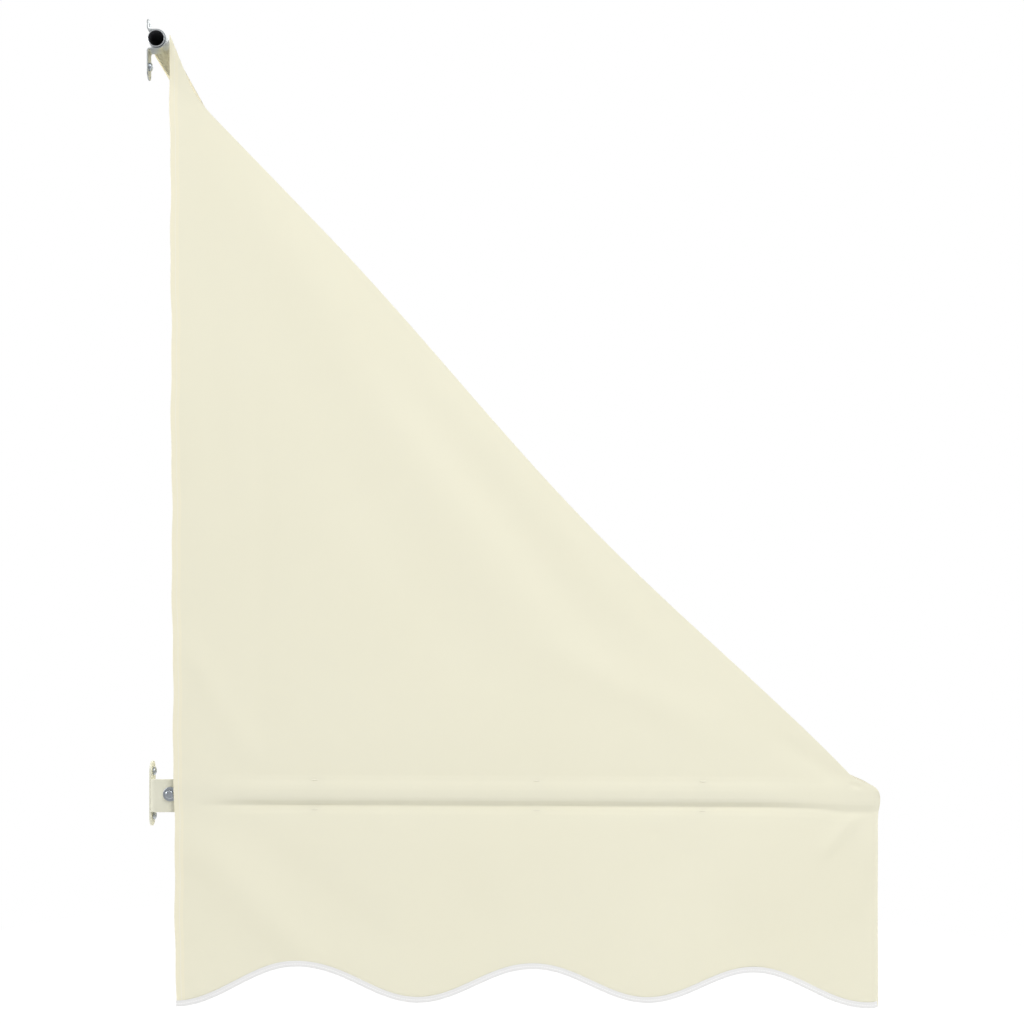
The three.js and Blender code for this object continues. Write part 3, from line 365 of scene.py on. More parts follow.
def cloth(name, cream, deep, hem_less_light_tone, stitch_tone, pitch=THREAD_PITCH, stitched=0.0085, through=0):
    """Cream varies with slow noise, is a little darker between threads by painted shade, and takes a painted
    yellower cream where the hem is double and lets less light through.
    """
    finish = Finish(name, Roughness=0.82, Specular_IOR_Level=0.25, Sheen_Weight=0.1, Sheen_Roughness=0.5)
    threads, flat = weave(finish, pitch)
    drift = finish.noise(2.6, 3.0, flat)
    base = finish.colour_mix(drift, cream, deep)
    from_hem = finish.attribute("from_hem")
    along_hem = finish.attribute("along_hem")
    doubled = from_hem.below(HEM_WIDTH, 0.0015)
    # painted light: where the hem is double, a yellower cream stands for the lesser light that comes through
    # it
    hemmed = finish.colour_mix(doubled * 0.9, base, hem_less_light_tone)
    # painted shade: the cream darkens toward the deep tone between the threads, in the weave's hollows
    woven = finish.colour_mix((1 - threads) * 0.07, hemmed, deep)
    dash = (along_hem * (2 * math.pi / STITCH_PITCH)).sine().math("GREATER_THAN", -0.45)
    stitch = (from_hem - stitched).magnitude().below(0.0004, 0.0003) * dash
    finish.set("Base Color", finish.colour_mix(stitch * 0.8, woven, stitch_tone))
    finish.bump(threads * 0.25 + stitch * 1.6, 0.25, 0.0004)
    if through:
        finish.let_through(through, LIGHT_THROUGH)
    return finish.material


LIGHT_THROUGH = (0.97, 0.93, 0.78)
CREAM = (0.88, 0.86, 0.715)
CREAM_DEEP = (0.855, 0.832, 0.675)
# painted light: the top panel is the same cream cloth as the sides, given a paler, bluer copy of its cream to
# offset the stronger light on it and through it
CREAM_SET_FOR_TOP_LIGHT, DEEP_SET_FOR_TOP_LIGHT = (0.85, 0.842, 0.775), (0.825, 0.815, 0.735)
# painted light: the hem's yellower cream stands for the lesser light that comes through the doubled cloth
HEM_LESS_LIGHT_CREAM = (0.9, 0.865, 0.69)
THREAD_CREAM = (0.92, 0.9, 0.83)
TAPE_WHITE, TAPE_GREY = (0.79, 0.788, 0.782), (0.75, 0.75, 0.748)
STRAP_CREAM, STRAP_DEEP = (0.82, 0.79, 0.66), (0.77, 0.74, 0.6)
SIDE_CLOTH = cloth("cream_side", CREAM, CREAM_DEEP, HEM_LESS_LIGHT_CREAM, THREAD_CREAM, through=0.15)
# painted light: the top panel takes the copy of the cream set for its own light, not a cloth of another
# colour
TOP_CLOTH = cloth("cream_top", CREAM_SET_FOR_TOP_LIGHT, DEEP_SET_FOR_TOP_LIGHT, HEM_LESS_LIGHT_CREAM, THREAD_CREAM, through=0.6)
TAPE = cloth("white_tape", TAPE_WHITE, TAPE_GREY, TAPE_WHITE, (0.97, 0.97, 0.97), 0.0014, 0.0035)
STRAP = cloth("cream_strap", STRAP_CREAM, STRAP_DEEP, STRAP_CREAM, (0.9, 0.88, 0.8), 0.0016, 0.002)
print("cloth finishes ready")

# %% [markdown]
# ## From a grid of points to a sheet
# Every soft piece starts as a grid of points on the cloth's middle surface. The sheet gets its thickness
# by moving that grid half a thickness along its normals to both sides, and rims close it all round.

# %% Sheet builder


def grid_normals(middle):
    """Cross product of the two grid directions, made one long."""
    normal = np.cross(np.gradient(middle, axis=0), np.gradient(middle, axis=1))
    return normal / np.maximum(np.linalg.norm(normal, axis=2, keepdims=True), 1e-12)


def grid_faces(rows, columns, offset=0):
    """The four corners of every cell, so that the faces look along the grid's normals."""
    index = np.arange(rows * columns).reshape(rows, columns) + offset
    return np.stack([index[:-1, :-1], index[1:, :-1], index[1:, 1:], index[:-1, 1:]], axis=-1).reshape(-1, 4)


def finished_object(mesh, material, sharp):
    """Links a mesh with its finish, shaded round where faces meet at less than an angle in degrees."""
    mesh.polygons.foreach_set("use_smooth", np.ones(len(mesh.polygons), bool))
    mesh.set_sharp_from_angle(angle=math.radians(sharp))
    mesh.materials.clear()
    mesh.materials.append(material)
    made = bpy.data.objects.new(mesh.name, mesh)
    bpy.context.collection.objects.link(made)
    return made


def cloth_mesh(name, points, faces, uv, attributes):
    """Vertices and four-cornered faces, with a UV and any float attributes for each vertex."""
    mesh = bpy.data.meshes.new(name)
    mesh.from_pydata(points.tolist(), [], faces.tolist())
    corners = np.empty(len(mesh.loops), np.int32)
    mesh.loops.foreach_get("vertex_index", corners)
    layer = mesh.uv_layers.new(name="flat_cut")
    layer.data.foreach_set("uv", uv[corners].astype(np.float32).ravel())
    for key, values in attributes.items():
        layer = mesh.attributes.new(key, "FLOAT", "POINT")
        layer.data.foreach_set("value", values.astype(np.float32))
    return mesh


def sheet_object(name, middle, thickness, material, uv, attributes, sharp=40):
    """A closed sheet: the grid moved by half the thickness to both sides, and a rim round its border."""
    rows, columns = middle.shape[:2]
    shift = grid_normals(middle) * (thickness / 2)
    count = rows * columns
    index = np.arange(count).reshape(rows, columns)
    border = np.concatenate([index[0, :-1], index[:-1, -1], index[-1, :0:-1], index[:0:-1, 0]])
    following = np.roll(border, -1)
    rim = np.stack([border, following, following + count, border + count], axis=-1)
    faces = np.concatenate([grid_faces(rows, columns), grid_faces(rows, columns, count)[:, ::-1], rim])
    points = np.concatenate([(middle + shift).reshape(-1, 3), (middle - shift).reshape(-1, 3)])
    both = np.tile(uv.reshape(-1, 2), (2, 1))
    doubled = {
        key: np.tile(np.broadcast_to(values, middle.shape[:2]).ravel(), 2)
        for key, values in attributes.items()
    }
    return finished_object(cloth_mesh(name, points, faces, both, doubled), material, sharp)


def lerp(low, high, share):
    return low + (high - low) * share


def running_length(line):
    """Distance along a line of points from its start, or along each of many lines."""
    steps = np.linalg.norm(np.diff(line, axis=-2), axis=-1)
    return np.concatenate([np.zeros_like(steps[..., :1]), np.cumsum(steps, axis=-1)], axis=-1)


def smooth(low, high, value):
    """0 below low, 1 above high, and an even S between them."""
    share = np.clip((value - low) / (high - low), 0, 1)
    return share * share * (3 - 2 * share)


print("sheet builder ready")

# %% [markdown]
# ## The cover's shape as formulas
# The cover is one big top panel from the wall tube to the front bar, and two sides. All three meet on the
# same lines, so one set of formulas gives them all: how far out a side panel hangs, how the slope sags,
# and where the scallops of the lower edge go. The frame itself gives the places of the tubes, the pivots
# and the balls of the corner elbows, as well as the cover's largest width, reach and drop.

# %% Sizes of the cover


def seat_of(node):
    """Middle of a construction part's box, seen from the side as (y, z), and half its height."""
    low, high = np.array(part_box(node))
    return tuple(np.round((low + high)[1:] / 2, 6).tolist()), round(float(high[2] - low[2]) / 2, 6)


TOP, TUBE_R = seat_of("top_tube")
BAR, _ = seat_of("front_bar")
PIVOT, _ = seat_of("left_pivot_bolt")
_, BALL_R = seat_of("left_corner_elbow")
_, FRONT_Y, VALANCE_LOW = np.round(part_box("left_side_panel")[0], 6).tolist()
FRONT_HALF = round(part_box("top_panel")[1][0], 6)
HALF_WIDTH = 0.75
CLOTH_T = 0.001
SEAT = 0.0009
SIDE_X = 0.7494
HEAD_X = 0.722
LEAN_FROM = 0.016
FLARE = 0.0105
FLARE_FROM, FLARE_FULL = 0.17, 0.045
FLARE_LEFT, FLARE_FADE = 0.72, 0.12
HEAD = (-0.075, 1.15)
FOOT = (-1.153, 0.0317)
SIDE_SCALLOPS, FRONT_SCALLOPS = 3, 4
SCALLOP_DEPTH = 0.066
CREST_DROOP, LOW_RISE, CREST_LATE = 0.016, 0.007, 0.06
EDGE_LOW = (-0.048, -0.344)
EDGE_HIGH = (-0.031, 1.258)
SEAM_Z = -0.04
CURL = 0.0038
SAG, SAG_FROM = 0.033, 0.2
BELLY = 0.012
LOBE = 0.0035


def slope_z(share, across):
    """A line from head to foot, less a sag over its lower part and a shallow belly between the sides."""
    slack = np.clip((share - SAG_FROM) / (1 - SAG_FROM), 0, 1)
    sag = SAG * np.sin(np.pi * slack) ** 2
    belly = BELLY * np.sin(np.pi * share) * (1 - across**2)
    return lerp(HEAD[1], FOOT[1], share) - sag - belly


def scallop(waves):
    """Lower edge at a number of waves: lowest at whole waves, highest halfway between."""
    return VALANCE_LOW + SCALLOP_DEPTH / 2 * (1 - np.cos(2 * np.pi * waves))


def side_share(y):
    """0 at the wall edge's low end, 1 in front of the bar's axis."""
    return (EDGE_LOW[0] - y) / (EDGE_LOW[0] - BAR[0])


def side_scallop(y):
    """The side's own edge: its crests come late and droop toward the front, and its inner lows rise."""
    share = side_share(y)
    waves = SIDE_SCALLOPS * share - CREST_LATE * np.sin(np.pi * share)
    droop = CREST_DROOP * share**1.5 * (1 - np.cos(2 * np.pi * waves)) / 2
    drawn_up = LOW_RISE * np.sin(np.pi * share) * (1 + np.cos(2 * np.pi * waves)) / 2
    return scallop(waves) - droop + drawn_up


def front_scallop(x):
    """The front's edge: whole scallops from side to side."""
    return scallop(FRONT_SCALLOPS * (x + HALF_WIDTH) / (2 * HALF_WIDTH))


print("scallops", np.round(side_scallop(np.linspace(-0.05, -1.17, 5)), 3))

# %% [markdown]
# ## How the side panel swells and creases
# A cloth side is never flat. It is pressed out by the arm behind it, drawn in under the arm where straps
# are sewn, pushed out by the ball of the corner elbow, and it keeps long soft folds from its packing.
# Each of these is one term of a height field: a curve across the arm, or a ridge with the shape of a bell
# along a line. Their sum moves the cloth in or out.

# %% Relief of the side panels
ARM_DZ = np.array([-0.30, -0.14, -0.08, -0.045, -0.03, -0.022, -0.018, -0.0155, -0.012, -0.007, -0.002,
                   0.004, 0.011, 0.018, 0.026, 0.034, 0.05, 0.09, 0.16])
ARM_RELIEF = np.array([0.0, -0.0003, -0.001, -0.0024, -0.004, -0.006, -0.008, -0.0082, -0.0052, -0.0014,
                       -0.0002, 0.0, -0.0001, -0.0008, -0.002, -0.0024, -0.0017, -0.0006, 0.0])
CREASE = 1.5

# Each ridge: start (y, z), end (y, z), half width, height.
RIDGES = [
    # packing folds that run with the slope
    ((-0.07, 1.15), (-0.69, 0.2), 0.062, 0.0036),
    ((-0.32, 0.79), (-0.78, 0.2), 0.034, -0.0016),
    ((-0.44, 0.72), (-0.86, 0.22), 0.03, 0.0014),
    ((-0.30, 0.56), (-0.58, 0.16), 0.05, -0.0014),
    ((-0.62, 0.26), (-0.96, 0.09), 0.03, 0.0014),
    # the wall side, drawn down to the pivot
    ((-0.185, 0.66), (-0.185, 0.03), 0.022, -0.0012),
    ((-0.05, 0.27), (-0.185, 0.04), 0.022, 0.0016),
    ((-0.09, 0.95), (-0.12, 0.45), 0.025, -0.001),
    ((-0.03, 0.75), (-0.03, 0.05), 0.085, 0.0026),
    # under the pivot
    ((-0.05, -0.05), (-0.31, -0.31), 0.034, 0.0036),
    ((-0.13, -0.03), (-0.42, -0.27), 0.03, -0.0014),
    # the valance toward the corner
    ((-0.55, -0.05), (-0.66, -0.32), 0.045, 0.0014),
    ((-0.86, -0.05), (-1.0, -0.3), 0.05, -0.0016),
    ((-1.16, -0.03), (-1.1, -0.1), 0.01, 0.0018),
    ((-1.185, -0.05), (-1.15, -0.2), 0.018, 0.0014),
    # puckers over the elbow and at two straps
    ((-1.02, 0.1), (-1.155, 0.016), 0.017, -0.0011),
    ((-1.15, 0.02), (-1.17, 0.014), 0.004, -0.0008),
    ((-0.378, -0.014), (-0.4, -0.07), 0.009, 0.001),
    ((-0.853, -0.014), (-0.83, -0.06), 0.009, 0.001),
]


def ridge(y, z, start, end, width, height):
    """A bell across the line from start to end, fading in and out along it."""
    line_y, line_z = end[0] - start[0], end[1] - start[1]
    length = math.hypot(line_y, line_z)
    along = ((y - start[0]) * line_y + (z - start[1]) * line_z) / length**2
    off = ((z - start[1]) * line_y - (y - start[0]) * line_z) / length
    fade = smooth(-0.1, 0.25, along) * (1 - smooth(0.75, 1.1, along))
    return height * np.exp(-((off / width) ** 2)) * fade


def arm_axis_z(y):
    return BAR[1] * np.clip((PIVOT[0] - y) / (PIVOT[0] - BAR[0]), 0, 1)


def side_out(y, z):
    """How far a side panel's middle surface is from the awning's middle: the lean and the elbow's flare."""
    lean = np.clip((z - LEAN_FROM) / (TOP[1] - LEAN_FROM), 0, 1.1)
    over_elbow = smooth(BAR[0] + FLARE_FROM, BAR[0] + FLARE_FULL, y)
    hang = lerp(FLARE_LEFT, 1.0, np.exp(-((np.minimum(z + 0.03, 0) / FLARE_FADE) ** 2)))
    turned_in = CURL * smooth(FRONT_Y + 0.013, FRONT_Y + 0.002, y) ** 1.5 * smooth(0.012, -0.004, z)
    return lerp(SIDE_X, HEAD_X, lean) + FLARE * over_elbow * hang - turned_in


def relief(y, z, side):
    """Creases of a side panel, out of its plane: the pressed arm, then the ridges."""
    arm_shows = smooth(-0.07, -0.2, y) * (1 - 0.6 * smooth(-0.97, -1.11, y))
    stretch = lerp(1.0, 1.3, smooth(-1.09, -1.15, y))
    pressed = np.interp((z - arm_axis_z(y)) / stretch, ARM_DZ, ARM_RELIEF) * arm_shows
    total = pressed
    for start, end, width, height in RIDGES:
        total = total + ridge(y, z, start, end, width, CREASE * height * (1.0 if side < 0 else 0.8))
    lobes = LOBE * np.sin(2 * np.pi * SIDE_SCALLOPS * side_share(y) + 0.6) * smooth(-0.08, -0.34, z)
    return total + lobes


def side_surface(y, z, side):
    """Points of a side panel's middle surface at y and z."""
    return together(side * (side_out(y, z) + relief(y, z, side)), y, z)


print("ridges", len(RIDGES))

# %% [markdown]
# ## The edge that top and side share
# Seen from the side the cover's outline is one line: steep from the wall tube, a soft corner, the long
# sagging slope, a small step onto the corner elbow and round it. It's worked out once, as points from the
# top down, and both the side panels and the top panel follow it.

# %% Outline of the side


def fillet(before, corner, after, steps):
    """A quadratic curve that leaves one line and joins the other, with the corner as its control point."""
    t = np.linspace(0, 1, steps)[:, None]
    a, b, c = (np.array(p) for p in (before, corner, after))
    return (1 - t) ** 2 * a + 2 * t * (1 - t) * b + t**2 * c


def slope_points(across, start, steps):
    share = np.linspace(start, 1, steps)
    return together(lerp(HEAD[0], FOOT[0], share), slope_z(share, across))


def touch_angle(centre, radius, point, turn):
    """Angle at which a line from a point touches a circle, seen from the circle's centre."""
    away = (point[0] - centre[0], point[1] - centre[1])
    return np.arctan2(away[1], away[0]) + turn * np.arccos(radius / np.hypot(*away))


def round_points(centre, radius, start, end, steps):
    """Points on an arc whose radius and angles may differ from section to section."""
    t = np.linspace(0, 1, steps)[None, :]
    angle = np.reshape(start, (-1, 1)) * (1 - t) + np.reshape(end, (-1, 1)) * t
    radius = np.reshape(radius, (-1, 1))
    return together(centre[0] + radius * np.cos(angle), centre[1] + radius * np.sin(angle))


HEAD_ROUND = 0.03
SLOPE_START = 0.03
EDGE_PROUD = 0.0008


def side_outline():
    """From the upper corner at the wall to the front of the elbow, one point every few millimetres."""
    corner = np.array(HEAD)
    top = np.array([EDGE_HIGH[0] - 0.001, EDGE_HIGH[1]])
    away = (top - corner) / np.linalg.norm(top - corner)
    slope = slope_points(1.0, SLOPE_START, 240)
    bend = fillet(corner + away * HEAD_ROUND, corner, slope[0], 12)
    seat = BALL_R + SEAT
    ball = round_points(BAR, seat, touch_angle(BAR, seat, FOOT, 1), np.pi, 26)[0]
    line = np.concatenate([[top], bend, slope[1:], ball])
    step = np.gradient(line, axis=0)
    outward = together(step[:, 1], -step[:, 0]) / np.linalg.norm(step, axis=1, keepdims=True)
    return line + outward * EDGE_PROUD * smooth(0, 0.06, EDGE_HIGH[0] - line[:, :1])


OUTLINE = side_outline()
SIDE_END_Y = -1.1962
FRONT_FALL = np.array([[FRONT_Y, -0.012], [-1.1985, -0.024], [-1.1968, -0.036], [SIDE_END_Y, -0.05]])


def front_y(z):
    """The front edge of a side panel at a height: the outline, then the fall below the elbow."""
    line = np.concatenate([OUTLINE, FRONT_FALL])
    return np.interp(z, line[::-1, 1], line[::-1, 0])


def wall_y(z):
    """The edge at the wall: a straight line with a slight wave, as a hem of hand-sewn cloth has."""
    share = (z - EDGE_LOW[1]) / (EDGE_HIGH[1] - EDGE_LOW[1])
    wave = 0.0009 * np.sin(z * 23) + 0.0006 * np.sin(z * 61 + 1)
    return lerp(EDGE_LOW[0], EDGE_HIGH[0], share) + wave * smooth(1.24, 1.1, z)


print("outline", len(OUTLINE), "points, steps downward:", bool((np.diff(OUTLINE[:, 1]) < 0).all()))

# %% [markdown]
# ## How the cover follows the frame
# The arms fold up to the wall, and the cloth has to follow: still at the wall tube, with the arms at the
# front, and in between like a fan whose ribs all meet at the pivots. So the share of the frame's turn that
# a point takes is its angle round the pivot, from 0 straight up to 1 along the arm. The cloth within 35 mm
# above an arm takes the whole turn, as its straps do. Here that share is only worked out: no piece is moved
# by it, and the valances and tapes ride with the frame whole.

# %% Join, fan and shrink
STRAP_ZONE = 0.035


def join(piece, node, body=None):
    """Says which construction part a piece stands for, and which body carries it."""
    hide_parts(node)
    if body:
        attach(piece, body)


def fan_share(y, z):
    """Angle from straight up at the pivot, over the angle at which the strap zone begins, at most 1."""
    out, up = PIVOT[0] - y, z - PIVOT[1]
    far = np.maximum(np.hypot(out, up), 1e-6)
    full = math.pi / 2 - np.arcsin(np.minimum(STRAP_ZONE / far, 0.7))
    return np.clip(np.arctan2(np.maximum(out, 0), up) / full, 0, 1)


def fan(piece):
    """Bakes a piece's placement into its mesh and reads its points; no blend between wall and frame by the
    angle round the pivot is made.
    """
    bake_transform(piece)
    points = np.empty(len(piece.data.vertices) * 3, np.float32)
    piece.data.vertices.foreach_get("co", points)
    points = points.reshape(-1, 3).astype(float)
    return piece


def shrink(piece):
    """Rides with the frame, on a mesh of its own. Cloth below the arms would hang as they fold, but it isn't
    gathered up here.
    """
    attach(piece, "front_frame")
    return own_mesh(piece)


print("share at mid slope", round(float(fan_share(-0.6, 0.57)), 2))

# %% [markdown]
# ## Side panels
# Each side is cut from one cloth: a tall triangle over the arm and a scalloped valance under it. The
# triangle's grid has rows of constant height, closer together round the arm, where the cloth bends most.
# The valance's rows pass from its scallops to the lowest of them. The model is split there, just under the
# arm, because the two parts move differently when the frame folds.

# %% Side panels
ROW_STEP = 0.0018
FINE_TOP = 0.045
SLOPE_ABOVE, SLOPE_SQUARE = 0.03, 0.72
SLOPE_HEM_IN, FRONT_HEM_IN = 0.006, 0.02


def side_rows():
    """Heights of the rows over the seam: 1.8 mm apart near the arm, then wider, 9 mm at most."""
    near = np.arange(SEAM_Z, FINE_TOP, ROW_STEP)
    above = FINE_TOP + ROW_STEP * np.cumsum(1.03 ** np.arange(60))
    upper = np.arange(above[above < 0.2][-1], EDGE_HIGH[1] - 0.02, 0.009)
    top = np.linspace(upper[-1] + 0.004, EDGE_HIGH[1], 8)
    return np.unique(np.concatenate([near, above[above < 0.2], upper, top]))


def side_columns():
    """Shares of the width, closer at both edges."""
    share = np.linspace(0, 1, 120)
    return share - 0.75 * np.sin(2 * np.pi * share) / (2 * np.pi)


def side_piece(name, side, z, columns):
    """A sheet over a table of heights and shares of the width, with its distance from the nearest hem.

    The distance across, made shorter on the slope because the edge leans there, stands for the distance
    from the front edge.
    """
    outer_first = slice(None, None, -int(side))
    z, columns = z[:, outer_first], columns[:, outer_first]
    start, end = wall_y(z), front_y(z)
    y = lerp(start, end, columns)
    on_slope = z > SLOPE_ABOVE
    from_front = (y - end) * np.where(on_slope, SLOPE_SQUARE, 1.0)
    from_front += np.where(on_slope, SLOPE_HEM_IN, FRONT_HEM_IN)
    attributes = {"from_hem": np.minimum(start - y, from_front + HEM_WIDTH), "along_hem": z}
    return sheet_object(
        name, side_surface(y, z, side), CLOTH_T, SIDE_CLOTH, together(-y, z), attributes
    )


columns = side_columns()[None, :]
cover_rows = side_rows()[:, None] + 0 * columns
hem = side_scallop(lerp(EDGE_LOW[0], SIDE_END_Y, columns))
valance_rows = lerp(hem, SEAM_Z, np.linspace(0, 1, 46)[:, None] ** 0.85)
side_covers, side_valances = {}, {}
for side_name, side in SIDES.items():
    side_covers[side_name] = side_piece(f"{side_name}_side_cover", side, cover_rows, columns)
    side_valances[side_name] = side_piece(f"{side_name}_side_valance", side, valance_rows, columns)
    print(side_name, "side", len(side_covers[side_name].data.polygons), "faces")

# %% [markdown]
# ## Top panel
# The top panel is one long cloth. It begins with a lap under the slope, goes up as the back layer of a
# sleeve, round the wall tube, down the steep head, along the slope and over the front bar. For each
# distance along the wall its section is a chain of curves in y and z; all sections are worked out at once
# as arrays, with the distance along the wall on the first axis.

# %% Section of the top panel
CORNER_START, CORNER_FULL = 0.86, 0.945
CORNER_HANG = 0.0214
FRONT_LOBE = 0.004
SLEEVE_LEAN = math.radians(24.8)
SLEEVE_BEND = 0.062
LAP_START, LAP_LENGTH = 0.004, 0.018
LAP_GAP = 0.0015


def corner_share(across):
    """0 over the bar, rising to 1 over the corner elbows."""
    return smooth(CORNER_START, CORNER_FULL, np.abs(across))


def top_sections(across):
    """Sections at shares of the half width: lap, sleeve's back, wrap, head, slope and the bar, as (y, z)."""
    wrap_r = TUBE_R + SEAT
    first = np.array([lerp(HEAD[0], FOOT[0], 0.1), slope_z(0.1, 1.0)]) - np.array(HEAD)
    along = first / np.linalg.norm(first)
    inside = np.array([-along[1], along[0]]) * LAP_GAP
    lap_end, seam = (np.array(HEAD) + inside + along * d for d in (LAP_START + LAP_LENGTH, LAP_START))
    lap = lerp(lap_end, seam, np.linspace(0, 1, 5)[:, None])
    leaves = np.array(TOP) + wrap_r * np.array([math.cos(SLEEVE_LEAN), -math.sin(SLEEVE_LEAN)])
    bend = leaves - SLEEVE_BEND * np.array([math.sin(SLEEVE_LEAN), math.cos(SLEEVE_LEAN)])
    back = fillet(seam, bend, leaves, 24)[1:-1]
    touch = touch_angle(TOP, wrap_r, HEAD, -1) + 2 * np.pi
    wrap = round_points(TOP, wrap_r, -SLEEVE_LEAN, touch, 26)[0]
    away = (wrap[-1] - np.array(HEAD)) / np.linalg.norm(wrap[-1] - np.array(HEAD))
    knee = np.array(HEAD) + away * HEAD_ROUND
    head = lerp(wrap[-1], knee, np.linspace(0, 1, 12)[:, None])[1:-1]
    slope = slope_points(across[:, None], SLOPE_START, 150)
    seat_r = lerp(TUBE_R, BALL_R, corner_share(across)) + SEAT
    bar = round_points(BAR, seat_r, touch_angle(BAR, seat_r, FOOT, 1), np.pi, 20)
    alike = np.concatenate([lap, back, wrap, head])[None].repeat(len(across), 0)
    return np.concatenate([alike, fillet(knee, HEAD, slope[:, :1], 12)[:, :-1], slope, bar[:, 1:]], axis=1)


def valance_y(across, z):
    """The front valance falls from the bar, farther out at the elbows, to a plumb hang with soft waves."""
    corner = corner_share(across)
    top = BAR[0] - lerp(TUBE_R, BALL_R, corner) - SEAT
    low = BAR[0] - lerp(TUBE_R + SEAT, CORNER_HANG, corner)
    settle = smooth(BAR[1], BAR[1] - 0.035, z)
    waves = FRONT_SCALLOPS * (across + 1) / 2
    lobes = FRONT_LOBE * np.sin(2 * np.pi * waves + 0.9) * smooth(-0.09, -0.34, z)
    return lerp(top, low, settle) + lobes * (1 - smooth(0.93, 1.0, np.abs(across)))


near_side = np.linspace(0.84, 1, 20)
ACROSS = np.unique(np.concatenate([np.linspace(-0.84, 0.84, 57), near_side, -near_side]))
sections = top_sections(ACROSS)
print("sections", sections.shape)

# %% [markdown]
# ## Making the top panel and the front valance
# A section's ends must meet the side panels, so a point's distance along the wall is its share of the
# half width times how far out the side panel is at that very height. A little slackness between the sides
# gives the slope long, shallow folds. The front valance is the same cloth going on under the bar.

# %% Top panel and front valance
SEAM_INSET = 0.0009
SEAM_HEM_IN = 0.004
FOLDS_FROM, FOLDS_UNTIL = (0.30, 0.42), (0.16, 0.06)
SLOPE_FOLDS = [(0.35, 2.1, 0.0016), (0.8, 3.7, 0.0009), (-0.5, 1.3, 0.0014)]


def side_reach(y, z):
    """How far out the side panels' inner faces are, creases included, at y and z."""
    return side_out(y, z) + relief(y, np.maximum(z, SEAM_Z), -1.0) - SEAM_INSET


def front_surface(across, z):
    """Points of the front valance's middle surface at shares of the half width and heights."""
    return together(across * side_reach(valance_y(1.0, z), z), valance_y(across, z), z)


y, z = sections[..., 0], sections[..., 1]
shares = ACROSS[:, None]
top_grid = together(shares * side_reach(y, z), y, z)
run = running_length(sections)
fold_end = [run.max() - before for before in FOLDS_UNTIL]
on_slope = smooth(*FOLDS_FROM, run) * (1 - smooth(*fold_end, run))
for lean, waves, height in SLOPE_FOLDS:
    phase = 2 * np.pi * (waves * shares + lean * run)
    top_grid[..., 2] += height * np.sin(phase) * on_slope * (1 - shares**4)
from_sides = (1 - np.abs(shares)) * HALF_WIDTH + SEAM_HEM_IN
hems = {"from_hem": from_sides, "along_hem": run}
top_cover = sheet_object("top_cover", top_grid, CLOTH_T, TOP_CLOTH, together(shares * HALF_WIDTH, run), hems)
print("top cover", round(float(run.max()), 3), "m long")

valance_z = lerp(BAR[1], front_scallop(shares * FRONT_HALF), np.linspace(0, 1, 60) ** 1.15)
front_grid = front_surface(shares, valance_z)
front_uv = together(shares * HALF_WIDTH, run.max() + BAR[1] - valance_z)
hems = {"from_hem": from_sides, "along_hem": valance_z}
front_valance = sheet_object("front_valance", front_grid, CLOTH_T, SIDE_CLOTH, front_uv, hems)
print("front valance", len(front_valance.data.polygons), "faces")

# %% [markdown]
# ## Binding tape
# The scalloped edges are bound: a woven tape is folded over the raw edge and stitched through. Its section
# is a narrow U. It's carried along the edge, and the U stands square to the edge in the cloth's plane, so
# the tape keeps its width round every scallop.

# %% Tape
TAPE_REACH = 0.0085
TAPE_T = 0.0006
TAPE_CLEAR = 0.00035


def tape_object(name, edge, outward):
    """A U of tape over an edge: its section is swept along the edge's points, with rounded lower corners."""
    along = np.gradient(edge, axis=0)
    along /= np.linalg.norm(along, axis=1, keepdims=True)
    out = outward - (outward * along).sum(1, keepdims=True) * along
    out /= np.linalg.norm(out, axis=1, keepdims=True)
    up = np.cross(out, along)
    up *= np.sign(up[:, 2:])
    half = CLOTH_T / 2 + TAPE_CLEAR + TAPE_T / 2
    bend = np.linspace(-np.pi / 2, np.pi / 2, 9)
    turn_out, turn_up = half * np.sin(bend), -half * 0.9 * np.cos(bend)
    leg = np.linspace(TAPE_REACH, 0.0006, 6)
    section_out = np.concatenate([np.full(6, -half), turn_out, np.full(6, half)])
    section_up = np.concatenate([leg, turn_up, leg[::-1]])
    middle = (
        edge[:, None]
        + section_out[None, :, None] * out[:, None]
        + section_up[None, :, None] * up[:, None]
    )
    if (np.cross(along, up) * out).sum() < 0:
        middle = middle[:, ::-1]
        section_up = section_up[::-1]
    length = running_length(edge)
    uv = together(length[:, None], running_length(together(section_out, section_up)))
    attributes = {"from_hem": section_up, "along_hem": length[:, None]}
    return sheet_object(name, middle, TAPE_T, TAPE, uv, attributes, 60), float(length[-1])


tapes, tape_lengths = {}, {}
tape_y = np.linspace(EDGE_LOW[0] - 0.0006, SIDE_END_Y + 0.0017, 420)
for side_name, side in SIDES.items():
    edge = side_surface(tape_y, side_scallop(tape_y), side)
    made = tape_object(f"{side_name}_side_tape", edge, np.array([side, 0, 0]))
    tapes[side_name], tape_lengths[side_name] = made
tape_across = np.linspace(-0.9965, 0.9965, 560)
edge = front_surface(tape_across, front_scallop(tape_across * FRONT_HALF))
tapes["front"], tape_lengths["front"] = tape_object("front_tape", edge, np.array([0, -1, 0]))
print("tape lengths", {key: round(value, 3) for key, value in tape_lengths.items()})

# %% [markdown]
# ## Straps
# Short straps inside the cover hold it to the arms and the front bar. Each is a strip bent round the tube
# with its two ends sewn flat to the cloth. As a grid it is a bent line times a straight width.

